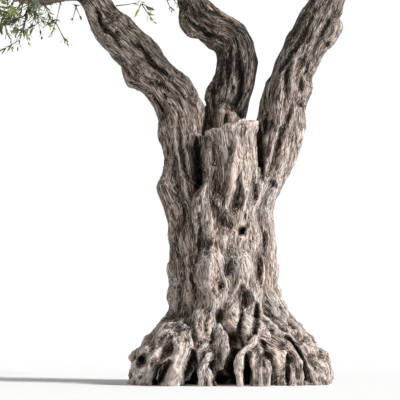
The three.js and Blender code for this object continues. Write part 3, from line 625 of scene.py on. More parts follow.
# The saw cut: how far above it nothing is left, and how wide a band counts as the cut and as its torn rim.
ABOVE_CUT = 0.015
CUT_BAND = 0.012
RIM_BAND = 0.05

# A stroke's soft edge: its reach beside its half width, and how wide and how far it wanders.
STROKE_REACH = 1.8
EDGE_WAVES = 0.07
EDGE_WANDER = 0.012

# The width of the fold between two cords, how wide the grain wanders and how far, and the radius from which
# a tube has its full forms, with the least share of them, for the large forms and for the fine ones.
FOLD_WIDTH = 0.035
GRAIN_BENDS = 0.12
GRAIN_BEND = 0.018
LARGE_BULK = (0.11, 0.42)
FINE_BULK = (0.10, 0.35)

# The relief that colours the bark, which paints shade into its furrows and hollows and makes its ridges
# paler:
# rounds of smoothing, the height that counts in full, and the share.
RELIEF = ((3, 0.0024, 0.30), (14, 0.0080, 0.26), (60, 0.0190, 0.44))

# Where the bark darkens: the height where the painted shade of the boughs starts and the span over which it
# sets in, and the same at the foot, then rows of how much, where across and where up: painted shade on the
# left stem, which turns from the key light, darker bark low on the right, and painted light low on the left.
# Roots thinner than told are darker too, and the foot's relief, with the painted shade in its hollows, counts
# for more.
SHADE_RISE = (1.25, 0.80)
LOW = (0.55, -0.30)
SHADES = [
    (0.60, (-0.14, -0.10), (0.55, 0.30)),
    (0.45, (0.10, 0.25), LOW),
    (-0.45, (-0.15, -0.25), LOW),
]
THIN = 0.065
THIN_SHADE = 0.40
LOW_RELIEF = 0.30


def lerp(a, b, share):
    return a + (b - a) * share


def polar(azimuth, distance, z, centre_x=0.0):
    """A point at an azimuth and distance from the trunk's middle."""
    turn = math.radians(azimuth)
    return np.array([centre_x + distance * math.sin(turn), -distance * math.cos(turn), z])


def dice(seed):
    """A repeatable stream of numbers from 0 to 1."""
    state = seed
    while True:
        state = (state * 1664525 + 1013904223) % 4294967296
        yield state / 4294967296


def unit(v):
    return v / np.maximum(np.linalg.norm(v, axis=-1, keepdims=True), 1e-12)


class Line:
    """The smooth line and radius through a limb's stations."""

    def __init__(self, stations):
        s = np.array(stations, float)
        self.count = len(s)
        self.ends = np.vstack([2 * s[0] - s[1], s, 2 * s[-1] - s[-2]])

    def value(self, share):
        last = self.count - 1
        place = np.clip(np.asarray(share, float), 0, 1) * last
        k = np.minimum(place.astype(int), last - 1)
        w = (place - k)[..., None]
        a, b, c, d = (self.ends[k + i] for i in range(4))
        start = 0.5 * (c - a)
        end = 0.5 * (d - b)
        return b + w * start + w ** 2 * (3 * (c - b) - 2 * start - end) + w ** 3 * (2 * (b - c) + start + end)

    def at(self, share):
        return self.value(share)[..., :3]

    def radius(self, share):
        return self.value(share)[..., 3]

    def share_at(self, height):
        """How far along the line it first comes up to a height."""
        share = 0.0
        while share < 1 and self.at(share)[2] < height:
            share += 0.01
        return share

    def along(self, share):
        s = np.asarray(share, float)
        return unit(self.at(np.minimum(s + 1e-4, 1)) - self.at(np.maximum(s - 1e-4, 0)))

    def frames(self, share):
        """The middle, direction and the two directions across it, at shares of the line."""
        span = self.at(1.0) - self.at(0.0)
        sideways = abs(span[1]) > 0.8 * np.linalg.norm(span)
        reference = np.array([1.0, 0, 0]) if sideways else np.array([0, 1.0, 0])
        tangent = self.along(share)
        side = unit(np.cross(np.broadcast_to(reference, tangent.shape), tangent))
        return self.at(share), tangent, side, np.cross(tangent, side)


# The wood's lines


def head_of(cord):
    """The last stations of a cord: it goes on up the side of the limb that it feeds, and sinks into it."""
    line = Line(STUMP if cord.feeds == "stump" else BOUGHS[cord.feeds])
    top = CORD_HEIGHTS[-1]
    shoulder = polar(cord.waist, cord.ring, top, WAIST_CENTRE_X) - line.at(line.share_at(top))
    side = math.degrees(math.atan2(shoulder[0], -shoulder[1]))
    stations = []
    for height, share_of_girth, proud in CORD_HEAD:
        share = line.share_at(height)
        centre = line.at(share)
        out = float(line.radius(share)) + (proud - share_of_girth) * cord.girth
        dx, dy, _ = polar(side, out, 0)
        stations.append((centre[0] + dx, centre[1] + dy, height, share_of_girth * cord.girth))
    return stations


def cord_stations(cord):
    """A cord from below its foot to its head, swaying and swelling on its way."""
    stations = []
    for z in CORD_HEIGHTS:
        step = min(max((cord.rise - z) / (cord.rise - ANKLE), 0), 1)
        outward = step * step * (3 - 2 * step)
        wander = SWAY * math.sin(z / SWAY_HEIGHT + cord.foot)
        azimuth = lerp(cord.waist, cord.foot, min(1, 1.5 * outward)) + wander
        x, y, _ = polar(azimuth, lerp(cord.ring, cord.reach, outward), z, lerp(WAIST_CENTRE_X, 0, outward))
        swell = 1 + SWELL * math.sin(z / SWELL_HEIGHT + 2 * cord.foot)
        stations.append((x, y, z, lerp(cord.girth, cord.toe_girth, outward) * swell))
    return stations + head_of(cord)


def toe_stations(cord, toe):
    """The toes fork from a cord at its knee and stand beside its foot."""
    foot, reach = cord.foot, cord.reach
    turn = (1 if toe % 2 else -1) * TOE_SPREAD * math.ceil((toe + 1) / 2)
    knee = cord_stations(cord)[KNEE]
    girth = cord.toe_girth * (0.78 + 0.14 * math.sin(3 * foot + 2 * toe))
    bend = polar(foot + 0.7 * turn, 0.84 * reach, TOE_BEND + TOE_UNEVEN * math.sin(foot + toe))
    out = reach * (1 + 0.05 * math.sin(5 * foot + toe))
    return [
        (knee[0], knee[1], knee[2] - TOE_DROP, girth),
        (lerp(knee[0], bend[0], 0.55), lerp(knee[1], bend[1], 0.55), lerp(knee[2], bend[2], 0.5),
         girth * 1.1),
        (*bend, girth * 1.05),
        (*polar(foot + turn, out, TOE_HEIGHT), girth),
        (*polar(foot + turn, out * 1.01, BURIED), girth * 0.95),
    ]


def root_stations(root):
    """A root that leaves the trunk, arches out and stands on its own foot."""
    start, rise, foot, reach, girth = root
    hip, thigh, knee, heel = STOUT_ROOT if girth > STOUT_GIRTH else THIN_ROOT
    return [
        (*polar(start, 0.62 * reach, rise), girth * hip),
        (*polar(lerp(start, foot, 0.6), 0.86 * reach, 0.76 * rise), girth * thigh),
        (*polar(foot, 0.98 * reach, 0.52 * rise), girth * knee),
        (*polar(foot, reach, BURIED), girth * heel),
    ]


def knob_stations(knob):
    azimuth, distance, z, girth, run = knob
    return [
        (*polar(azimuth, distance - KNOB_SUNK - 0.5 * run, z + KNOB_HEIGHT), 0.5 * girth),
        (*polar(azimuth, distance, z), girth),
        (*polar(azimuth, distance - KNOB_SUNK + run, z - KNOB_HEIGHT), 0.5 * girth),
    ]


def burl_stations(bough, burl):
    start, end, facing, out, girth = burl
    line = Line(bough)
    away = unit(np.array(facing, float))
    stations = []
    for share in (0.0, 0.25, 0.5, 0.75, 1.0):
        bulge = 0.5 + 0.5 * math.sin(math.pi * share)
        centre = line.at(lerp(start, end, share)) + away * out * bulge
        stations.append((*centre, girth * bulge))
    return stations


def centre_of(mass):
    x, y, z = polar(mass.azimuth, mass.distance, mass.height)
    return np.array([x + CROWN_AXIS[0], y + CROWN_AXIS[1], z])


def spread(mass, points):
    """How far out of the middle of its mass a point lies: 1 on the ellipsoid."""
    reach = np.array([mass.side, mass.side, mass.rise])
    return np.linalg.norm((points - centre_of(mass)) / reach, axis=-1)


def limb_stations(mass):
    """A limb starts inside its bough, turns out of it, and ends where it enters its mass."""
    line = Line(BOUGHS[mass.bough])
    root = line.at(mass.fork)
    centre = centre_of(mass)
    entry = lerp(centre, root, ENTRY / spread(mass, root))
    length = np.linalg.norm(entry - root)
    knee = root + line.along(mass.fork) * LIMB_KNEE * length
    elbow = lerp(knee, entry, LIMB_ELBOW) + polar(mass.azimuth + 90, ELBOW_ASIDE * length, 0)
    elbow[2] += ELBOW_UP * length
    girth = mass.girth or LIMB_GIRTH * float(line.radius(mass.fork))
    return [(*root, girth), (*knee, 0.84 * girth), (*elbow, lerp(girth, LIMB_TIP, 0.6)), (*entry, LIMB_TIP)]


def stem_stations(mass):
    """The stem of a mass goes on from its limb's tip, past the middle of the mass."""
    tip = Line(limb_stations(mass))
    start = tip.at(1.0)
    centre = centre_of(mass)
    first = start + tip.along(1.0) * STEM_START * np.linalg.norm(start - centre)
    last = lerp(centre, start, STEM_PAST)
    last[2] += STEM_RISE * mass.rise
    return [(*point, share * LIMB_TIP) for point, share in zip((start, first, centre, last), STEM_GIRTHS)]


def tube(stations, name, carved=True, ribs=PLAIN, sawn=False):
    """A tube of wood: its stations, the node it belongs to, whether the carving of the front reaches it, its
    ribs, and whether the saw cut it."""
    return {"stations": stations, "node": name, "carved": carved, "ribs": ribs, "sawn": sawn}


def wood_tubes():
    """Every tube of the wood, from the heart of the trunk to the limbs."""
    tubes = [tube(HEART, "trunk"), tube(STUMP, "trunk", ribs=STUMP_RIBS, sawn=True)]
    for cord in CORDS:
        tubes.append(tube(cord_stations(cord), "trunk", sawn=cord.feeds == "stump"))
        tubes += [tube(toe_stations(cord, toe), "trunk", carved=False) for toe in range(cord.toes)]
    tubes += [tube(root_stations(root), "trunk", carved=root[-1] > STOUT_GIRTH) for root in ROOTS]
    tubes += [tube(knob_stations(knob), "trunk") for knob in KNOBS]
    tubes.append(tube(FLANK, "trunk", ribs=FLANK_RIBS))
    tubes.append(tube(SHARD, "trunk", carved=False, ribs=SHARD_RIBS))
    tubes.append(tube(WEB, "trunk", carved=False))
    for name, bough in BOUGHS.items():
        tubes.append(tube(bough, name, ribs=BOUGH_RIBS))
        tubes += [tube(burl_stations(bough, burl), name) for burl in BURLS[name]]
    tubes.append(tube(PRUNED_STUB, "bough_right"))
    tubes += [tube(splinter, "bough_middle") for splinter in SPLINTERS]
    tubes += [tube(limb_stations(mass), "limb_" + name, carved=False) for name, mass in MASSES.items()]
    return tubes


# The crown's lines


def beads_of(stations, count):
    """Points with a radius all along a limb, to keep leaves off it."""
    return Line(stations).value(np.linspace(0, 1, count + 1))


def all_beads():
    beads = [beads_of(bough, 80) for bough in BOUGHS.values()]
    return np.vstack(beads + [beads_of(limb_stations(mass), 40) for mass in MASSES.values()])


BEADS = all_beads()


def fits(mass, points):
    """Whether points are inside their mass, nearer to its middle than to any other, and off the limbs."""
    points = np.atleast_2d(points)
    good = spread(mass, points) <= 1
    own = centre_of(mass)
    from_own = ((points - own) ** 2).sum(1)
    for other in MASSES.values():
        if other is mass:
            continue
        middle = centre_of(other)
        gap = (((points - middle) ** 2).sum(1) - from_own) / (2 * np.linalg.norm(own - middle))
        good &= gap >= MASS_GAP
    near = BEADS[np.linalg.norm(BEADS[:, :3] - own, axis=1) < 1.2 * mass.side + 0.2]
    for bead in near:
        good &= np.linalg.norm(points - bead[:3], axis=1) > bead[3] + LIMB_GAP
    return good


def between(corners, steps):
    """Points along the straight lines through some corners."""
    shares = np.linspace(0, 1, steps + 1)[:, None]
    return np.vstack([lerp(a, b, shares) for a, b in zip(corners[:-1], corners[1:])])


def across_of(along, roll=0.0):
    """The direction across a twig or leaf, turned by its roll."""
    along = np.asarray(along, float)
    upright = np.abs(along[..., 2:]) > 0.9
    reference = np.where(upright, np.array([1.0, 0, 0]), np.array([0, 0, 1.0]))
    across = unit(np.cross(reference, along))
    roll = np.asarray(roll)[..., None]
    return across * np.cos(roll) + np.cross(along, across) * np.sin(roll)


def spray_outline(start, along, roll, scale):
    """The outline that a whole spray of leaves fills."""
    widest = start + along * SPRAY_WIDEST * SPRAY_LENGTH * scale
    side = across_of(along, roll) * 0.5 * SPRAY_WIDTH * scale
    return [start, widest + side, start + along * SPRAY_LENGTH * scale, widest - side, start]


def grown_twig(mass, root, tip, roll, arch, scale, girth):
    """A twig that bends once and passes into a spray at its end, where it fits its mass."""
    along = unit(tip - root)
    neck = tip - along * SPRAY_LENGTH * scale
    middle = lerp(root, neck, TWIG_BEND)
    middle[2] += arch * np.linalg.norm(root - neck)
    if np.linalg.norm(neck - root) < 0.15 * SPRAY_LENGTH:
        return None
    if not fits(mass, between([root, middle, *spray_outline(neck, along, roll, scale)], 6)).all():
        return None
    return {"corners": [root, middle, neck, tip], "along": along, "girth": girth}


def point_along(twig, share):
    root, middle, neck, _ = twig["corners"]
    if share < TWIG_BEND:
        return lerp(root, middle, share / TWIG_BEND)
    return lerp(middle, neck, (share - TWIG_BEND) / PAST_BEND)


def twigs_of(mass, draw, count):
    """The twigs of a mass: those that reach out from the stem to points spread evenly over the ellipsoid, and
    side twigs from each of them."""
    stem = Line(stem_stations(mass))
    centre = centre_of(mass)
    run = stem.at(1.0) - stem.at(0.0)
    turn = 360 * next(draw)
    twigs = []
    for k in range(count):
        up = 1 - 2 * (k + 0.5) / count
        ring = math.sqrt(1 - up * up)
        angle = math.radians(k * GOLDEN + turn)
        aside = mass.side * ring
        way = np.array([aside * math.cos(angle), aside * math.sin(angle), mass.rise * up])
        lean = way @ run / (np.linalg.norm(way) * np.linalg.norm(run))
        root = stem.at(min(max(0.55 + 0.4 * lean, 0.3), 0.96))
        roll = 2 * (next(draw) - 0.5)
        twig = None
        for reach in REACHES:
            twig = grown_twig(mass, root, centre + way * reach, roll, TWIG_ARCH, 1, FIRST_GIRTH)
            if twig:
                break
        if not twig:
            continue
        twigs.append(twig)
        for share, side in BOTH_SIDES if k % 2 else ONE_SIDE:
            along = unit(twig["corners"][2] - root)
            start = point_along(twig, share)
            way = along * 0.7 + across_of(along) * side * (0.7 + 0.3 * next(draw))
            way[2] += 0.6 * (next(draw) - 0.45)
            tip = start + unit(way) * (0.5 + 0.16 * next(draw)) * mass.side
            side_twig = grown_twig(mass, start, tip, 3 * (next(draw) - 0.5), 0, SIDE_SPRAY, SIDE_GIRTH)
            if side_twig:
                twigs.append(side_twig)
    return twigs


def shoots_of(mass, twigs, random, spacing):
    """Leafy shoots all along the twigs of a mass, and longer ones that hang from them: their starts,
    directions, lengths and sag, and the share of each that is bare."""
    rows = []
    for twig in twigs:
        corners = np.array(twig["corners"])
        pieces = np.linalg.norm(np.diff(corners, axis=0), axis=1)
        run = np.concatenate([[0], np.cumsum(pieces)])
        places = np.arange(FIRST_SHOOT * run[-1], run[-1], spacing)
        places = places + random.uniform(-0.3, 0.3, len(places)) * spacing
        for i, place in enumerate(places):
            k = min(np.searchsorted(run, place) - 1, len(pieces) - 1)
            along = unit(corners[k + 1] - corners[k])
            start = corners[k] + along * (place - run[k])
            way = along * random.uniform(0.45, 0.9)
            way = way + across_of(along, math.radians(GOLDEN) * i + random.uniform(-0.5, 0.5))
            way[2] += random.uniform(-0.25, 0.45)
            length = random.uniform(*SHOOT_LENGTH) * (1.15 - 0.45 * place / run[-1])
            rows.append((*start, *unit(way), length, random.uniform(*SHOOT_SAG), SHOOT_BARE))
            if i % HANGING == HANGING - 1:
                way = np.array([along[0] * 0.6, along[1] * 0.6, -0.8]) + random.uniform(-0.35, 0.35, 3)
                length = random.uniform(*HANGING_LENGTH)
                sag = random.uniform(*HANGING_SAG)
                rows.append((*start, *unit(way), length, sag, random.uniform(*HANGING_BARE)))
        length = np.linalg.norm(corners[-1] - corners[-2]) * END_SHARE
        rows.append((*corners[-2], *twig["along"], length, random.uniform(*SHOOT_SAG), END_BARE))
    rows = np.array(rows)
    starts, ways, lengths, sag, bare = rows[:, :3], rows[:, 3:6], rows[:, 6], rows[:, 7], rows[:, 8]
    for _ in range(TRIES):
        good = np.ones(len(rows), bool)
        for share in (0.35, 0.7, 1.0):
            good &= fits(mass, along_shoot(starts, ways, lengths, sag, share))
        lengths = np.where(good, lengths, lengths * SHORTER)
    return starts[good], ways[good], lengths[good], sag[good], bare[good]


def along_shoot(starts, ways, lengths, sag, share):
    """The point at a share of each shoot."""
    points = starts + ways * (lengths * share)[:, None]
    points[:, 2] -= sag * lengths * share * share
    return points


# Noise and fields on points

LATTICE = np.random.RandomState(7).permutation(256)
SLOPES = unit(np.random.RandomState(8).normal(size=(256, 3)))


def noise(points, offset=0.0):
    """Smooth gradient noise, about -0.7 to 0.7, on an array of points."""
    p = points + offset
    cell = np.floor(p).astype(int)
    f = p - cell
    ease = f * f * f * (f * (f * 6 - 15) + 10)
    total = np.zeros(len(p))
    for dx in (0, 1):
        for dy in (0, 1):
            for dz in (0, 1):
                corner = LATTICE[(cell[:, 0] + dx) & 255]
                corner = LATTICE[(corner + cell[:, 1] + dy) & 255]
                corner = LATTICE[(corner + cell[:, 2] + dz) & 255]
                away = f - np.array([dx, dy, dz])
                share = np.ones(len(p))
                for axis, d in enumerate((dx, dy, dz)):
                    share = share * (ease[:, axis] if d else 1 - ease[:, axis])
                total += share * np.einsum("ij,ij->i", SLOPES[corner], away)
    return total


def form(points, shape):
    """Noise as wide and as long as a form says, from its own start, times its height."""
    return stretched(points, shape) * shape[3]


def stretched(points, shape):
    width, length, start = shape[:3]
    return noise(points / np.array([width, width, length]), start)


def patchy(points, patches):
    """How far strands stand out at each point."""
    width, start, least, more = patches
    return least + more * np.clip(noise(points / width, start) + 0.3, 0, 1)


def hollows(points, shape):
    """Scars or pits, where the noise is over the value that they start from."""
    return np.clip(stretched(points, shape) - shape[3], 0, 1) * shape[4]


def crests(points, shape):
    """Sharp crests, where the noise changes sign."""
    return (shape[3] - np.abs(stretched(points, shape))) * shape[4]


def onset(values, start, span):
    """0 at the start, 1 from one span on. A negative span rises downwards."""
    return np.clip((values - start) / span, 0, 1)


def ridges(points, across, along, offset):
    """Rounded strands with narrow furrows between them, about -1 to 1, as wide and as long as told."""
    value = noise(points / np.array([across, across, along]), offset)
    return np.minimum(np.sqrt(value * value + 0.0012) * 4.4, 2.0) - 1


def edges_of(mesh):
    pairs = np.empty(2 * len(mesh.edges), np.int32)
    mesh.edges.foreach_get("vertices", pairs)
    return pairs.reshape(-1, 2)


def smoothed(values, pairs, rounds):
    """Values on vertices, each replaced in every round by the mean of itself and its neighbours."""
    n = len(values)
    flat = values.reshape(n, -1).astype(float)
    ends = np.concatenate([pairs[:, 0], pairs[:, 1]])
    others = np.concatenate([pairs[:, 1], pairs[:, 0]])
    degree = np.bincount(ends, minlength=n) + 1.0
    for _ in range(rounds):
        sums = [np.bincount(ends, weights=flat[others, c], minlength=n) for c in range(flat.shape[1])]
        flat = (flat + np.stack(sums, axis=1)) / degree[:, None]
    return flat.reshape(values.shape)


def vertices_of(mesh):
    co = np.empty(3 * len(mesh.vertices), np.float32)
    mesh.vertices.foreach_get("co", co)
    return co.reshape(-1, 3).astype(float)


def normals_of(mesh):
    normals = np.empty(3 * len(mesh.vertices), np.float32)
    mesh.vertex_normals.foreach_get("vector", normals)
    return normals.reshape(-1, 3).astype(float)


def move_vertices(mesh, co):
    mesh.vertices.foreach_set("co", co.astype(np.float32).ravel())
    mesh.update()


def grain_of(points, tubes):
    """For each point: its distance from the nearest tube and from the next, the nearest tube's number, and
    its place in that tube pulled straight, where the third number runs along the wood."""
    near = np.full(len(points), FAR)
    second = np.full(len(points), FAR)
    owner = np.zeros(len(points), int)
    grain = np.zeros((len(points), 3))
    for number, one in enumerate(tubes):
        line = Line(one["stations"])
        fine = line.at(np.linspace(0, 1, 200))
        length = np.linalg.norm(np.diff(fine, axis=0), axis=1).sum()
        count = max(6, int(length / RING_STEP))
        shares = np.linspace(0, 1, count)
        middle, tangent, side, other = line.frames(shares)
        radius = line.radius(shares)
        run = np.concatenate([[0], np.cumsum(np.linalg.norm(np.diff(middle, axis=0), axis=1))])
        reach = radius.max() + TUBE_REACH
        inside = np.all((points > middle.min(0) - reach) & (points < middle.max(0) + reach), axis=1)
        picked = np.nonzero(inside)[0]
        for block in np.array_split(picked, max(1, len(picked) // BLOCK)):
            if not len(block):
                continue
            p = points[block]
            gap = p[:, None, :] - middle[None]
            far = np.einsum("ijk,ijk->ij", gap, gap)
            k = far.argmin(1)
            off = gap[np.arange(len(block)), k]
            slide = np.einsum("ij,ij->i", off, tangent[k])
            x = np.einsum("ij,ij->i", off, side[k])
            y = np.einsum("ij,ij->i", off, other[k])
            past_end = np.where(k == count - 1, np.maximum(slide, 0), 0)
            beyond = np.where(k == 0, np.minimum(slide, 0), past_end)
            distance = np.sqrt(x * x + y * y + beyond * beyond) - radius[k]
            if one["sawn"]:
                distance = np.where(height_over_cut(p) > ABOVE_CUT, FAR, distance)
            s = run[k] + slide
            turn = 0.5 * s + number
            across = x * np.cos(turn) - y * np.sin(turn)
            place = np.stack([across, x * np.sin(turn) + y * np.cos(turn), s], axis=1)
            closer = distance < near[block]
            second[block] = np.where(closer, near[block], np.minimum(second[block], distance))
            near[block] = np.where(closer, distance, near[block])
            owner[block] = np.where(closer, number, owner[block])
            grain[block] = np.where(closer[:, None], place + number * 3.7, grain[block])
    return near, second, owner, grain


def seen_on_plane(points):
    """Where the eye sees points on the upright plane y = 0, as (x, z)."""
    scale = -EYE[1] / (points[:, 1] - EYE[1])
    x = EYE[0] + (points[:, 0] - EYE[0]) * scale
    z = EYE[2] + (points[:, 2] - EYE[2]) * scale
    return np.stack([x, z], axis=1)


def drawn(points, strokes):
    """How strongly each stroke of a list covers each point, as the eye sees it from the front."""
    seen = seen_on_plane(points)
    shift = np.stack([noise(points / EDGE_WAVES, start) for start in (40.0, 50.0)], axis=1)
    seen = seen + shift * EDGE_WANDER
    total = np.zeros(len(points))
    for width, strength, way in strokes:
        corners = np.array(way)
        lengths = np.linalg.norm(np.diff(corners, axis=0), axis=1)
        run = np.concatenate([[0], np.cumsum(lengths)]) / lengths.sum()
        reach = STROKE_REACH * width
        low = corners.min(0) - reach
        high = corners.max(0) + reach
        inside = np.nonzero(np.all((seen > low) & (seen < high), axis=1))[0]
        spots = seen[inside]
        nearest = np.full(len(spots), FAR)
        place = np.zeros(len(spots))
        for i, (a, b) in enumerate(zip(corners[:-1], corners[1:])):
            share = np.clip(((spots - a) @ (b - a)) / ((b - a) @ (b - a)), 0, 1)
            gap = np.linalg.norm(spots - a - share[:, None] * (b - a), axis=1)
            place = np.where(gap < nearest, lerp(run[i], run[i + 1], share), place)
            nearest = np.minimum(nearest, gap)
        taper = 0.45 + 0.55 * np.sin(math.pi * np.clip(place, 0.02, 0.98))
        fall = np.clip(1 - nearest / (reach * taper), 0, 1)
        total[inside] += strength * taper * fall * fall * (3 - 2 * fall)
    return total


def facing_front(normals):
    return np.clip(-normals[:, 1] * 2.2 + 0.25, 0, 1)


# Meshes


def use_only(obj):
    bpy.ops.object.select_all(action="DESELECT")
    obj.select_set(True)
    bpy.context.view_layer.objects.active = obj


def object_from(name, vertices, faces):
    mesh = bpy.data.meshes.new(name)
    mesh.from_pydata([tuple(v) for v in vertices], [], faces)
    mesh.update()
    obj = bpy.data.objects.new(name, mesh)
    bpy.context.scene.collection.objects.link(obj)
    return obj


def apply_modifier(obj, kind, **settings):
    use_only(obj)
    bpy.ops.object.modifier_add(type=kind)
    modifier = obj.modifiers[-1]
    for key, value in settings.items():
        setattr(modifier, key, value)
    bpy.ops.object.modifier_apply(modifier=modifier.name)


def tube_rings(tubes):
    """The vertices and faces of closed tubes, each a row of rings with a cap at each end."""
    vertices = []
    faces = []
    sides = TUBE_SIDES
    for one in tubes:
        line = Line(one["stations"])
        length = np.linalg.norm(np.diff(line.at(np.linspace(0, 1, 60)), axis=0), axis=1).sum()
        steps = max(4, int(length / TUBE_STEP))
        shares = np.linspace(0, 1, steps + 1)
        middle, _, side, other = line.frames(shares)
        lobes, depth, turn = one["ribs"]
        angles = 2 * math.pi * np.arange(sides) / sides
        rib = 1 + depth * np.cos(lobes * angles[None] + turn * shares[:, None])
        r = (line.radius(shares)[:, None] * rib)[..., None]
        ring = middle[:, None] + r * (np.cos(angles)[None, :, None] * side[:, None]
                                      + np.sin(angles)[None, :, None] * other[:, None])
        start = len(vertices)
        vertices.extend(ring.reshape(-1, 3))
        faces.append([start + j for j in range(sides)][::-1])
        faces.append([start + steps * sides + j for j in range(sides)])
        for i in range(steps):
            for j in range(sides):
                a = start + i * sides + j
                b = start + i * sides + (j + 1) % sides
                faces.append((a, b, b + sides, a + sides))
    return vertices, faces


def mesh_object(name, vertices, triangles):
    """An object from arrays of vertices and of triangles."""
    mesh = bpy.data.meshes.new(name)
    mesh.vertices.add(len(vertices))
    mesh.vertices.foreach_set("co", np.asarray(vertices, np.float32).ravel())
    mesh.loops.add(3 * len(triangles))
    mesh.loops.foreach_set("vertex_index", np.asarray(triangles, np.int32).ravel())
    mesh.polygons.add(len(triangles))
    mesh.polygons.foreach_set("loop_start", np.arange(0, 3 * len(triangles), 3, dtype=np.int32))
    mesh.update(calc_edges=True)
    obj = bpy.data.objects.new(name, mesh)
    bpy.context.scene.collection.objects.link(obj)
    return obj


def stick_mesh(points, radii, sides):
    """Thin sticks as arrays: points is (stick, corner, 3) and radii (stick, corner). Each runs out in its
    last point, and its start is sunk in what carries it."""
    count, corners, _ = points.shape
    heading = unit(np.gradient(points, axis=1))
    side = across_of(heading)
    other = np.cross(heading, side)
    angles = 2 * math.pi * np.arange(sides) / sides
    ring = (points[:, :-1, None] + radii[:, :-1, None, None]
            * (np.cos(angles)[:, None] * side[:, :-1, None] + np.sin(angles)[:, None] * other[:, :-1, None]))
    own = (corners - 1) * sides + 1
    vertices = np.concatenate([ring.reshape(count, -1, 3), points[:, -1:]], axis=1)
    faces = []
    for i in range(corners - 1):
        for j in range(sides):
            a = i * sides + j
            b = i * sides + (j + 1) % sides
            if i < corners - 2:
                faces += [(a, b, b + sides), (a, b + sides, a + sides)]
            else:
                faces.append((a, b, own - 1))
    faces += [(0, j + 1, j) for j in range(1, sides - 1)]
    triangles = np.array(faces)[None] + (np.arange(count) * own)[:, None, None]
    return vertices.reshape(-1, 3), triangles.reshape(-1, 3)


def leaf_mesh(starts, ways, sides, lengths, widths, bend):
    """Narrow leaves of four faces, as arrays: each bends down towards its tip."""
    down = np.cross(sides, ways)
    corners = []
    for along, aside, lift in LEAF_OUTLINE:
        corners.append(starts + ways * (along * lengths)[:, None] + sides * (aside * widths)[:, None]
                       - down * (lift * bend * lengths)[:, None])
    vertices = np.stack(corners, axis=1)
    triangles = np.array(LEAF_FACES)[None] + (np.arange(len(starts)) * len(LEAF_OUTLINE))[:, None, None]
    return vertices.reshape(-1, 3), triangles.reshape(-1, 3)


def joined_arrays(parts):
    """Several (vertices, triangles) as one."""
    shift = np.cumsum([0] + [len(v) for v, _ in parts])[:-1]
    return np.vstack([v for v, _ in parts]), np.vstack([t + n for (_, t), n in zip(parts, shift)])


def saw_normal():
    slope = math.radians(-SAW_CUT["slope"])
    lean = math.radians(SAW_CUT["lean"])
    y = -math.sin(lean)
    z = math.cos(lean)
    return np.array([z * math.sin(slope), y, z * math.cos(slope)])


def cut_flat(obj, point, normal):
    """Cuts off all of a mesh on the side that the normal points to, and closes the cut."""
    use_only(obj)
    bpy.ops.object.mode_set(mode="EDIT")
    bpy.ops.mesh.select_all(action="SELECT")
    bpy.ops.mesh.bisect(plane_co=tuple(point), plane_no=tuple(normal), use_fill=True, clear_outer=True)
    bpy.ops.object.mode_set(mode="OBJECT")


def rough_wood(voxel):
    """All tubes joined into one closed skin, before any bark. The sawn ones are cut first."""
    tubes = wood_tubes()
    sawn = object_from("stump_blank", *tube_rings([t for t in tubes if t["sawn"]]))
    apply_modifier(sawn, "REMESH", mode="VOXEL", voxel_size=voxel)
    cut_flat(sawn, SAW_CUT["at"], saw_normal())
    rest = object_from("wood", *tube_rings([t for t in tubes if not t["sawn"]]))
    use_only(rest)
    sawn.select_set(True)
    bpy.ops.object.join()
    apply_modifier(rest, "REMESH", mode="VOXEL", voxel_size=voxel)
    return rest, tubes


def height_over_cut(points):
    return (points - np.array(SAW_CUT["at"])) @ saw_normal()


def on_saw_cut(points, sawn):
    """1 on the stump's sawn face, falling to 0 beside it."""
    return np.clip(1.6 - np.abs(height_over_cut(points)) / CUT_BAND, 0, 1) * sawn


def of_tubes(tubes, owner):
    """What each vertex's tube says: whether it is carved, whether it is sawn, and its greatest radius."""
    rows = [(t["carved"], t["sawn"], max(s[3] for s in t["stations"])) for t in tubes]
    return np.array(rows, float)[owner].T


def shape_wood(wood, tubes, sizes):
    """The large forms: swellings, the folds between cords, and the carving of the front."""
    mesh = wood.data
    pairs = edges_of(mesh)
    co = smoothed(vertices_of(mesh), pairs, 7)
    move_vertices(mesh, co)
    normals = unit(smoothed(normals_of(mesh), pairs, 3))
    near, second, owner, grain = grain_of(co, tubes)
    carved, sawn, thick = of_tubes(tubes, owner)
    keep = 1 - on_saw_cut(co, sawn)
    bulk = np.clip(thick / LARGE_BULK[0], LARGE_BULK[1], 1)
    lumps = form(co, LUMPS) + form(co, SMALL_LUMPS)
    strands = ridges(grain + form(co, WANDER)[:, None], *STRANDS) * sizes.strand_height
    strands = strands * patchy(co, STRAND_PATCHES)
    crags = crests(co, CRAGS) + crests(co, SMALL_CRAGS)
    foot = onset(co[:, 2], FOOT_HEIGHT, -FOOT_FADE)
    strands = strands + hollows(grain, SCARS) + crags * (0.10 + 0.90 * foot)
    fold = -sizes.fold_depth * np.exp(-((second - near) / FOLD_WIDTH) ** 2)
    dips = np.zeros(len(co))
    for middle, reach, depth in DIPS:
        dips += depth * np.exp(-(((co - np.array(middle)) / reach) ** 2).sum(1))
    move = ((lumps + strands + fold) * bulk - dips) * keep
    co = co + normals * move[:, None]
    co[:, 1] += drawn(co, STROKES) * facing_front(normals) * carved * keep
    rim = np.clip(1.4 - np.abs(height_over_cut(co)) / RIM_BAND, 0, 1) * sawn
    co += saw_normal() * (rim * (form(co, RIM_WAVES) + form(co, RIM_TEETH)))[:, None]
    move_vertices(mesh, co)


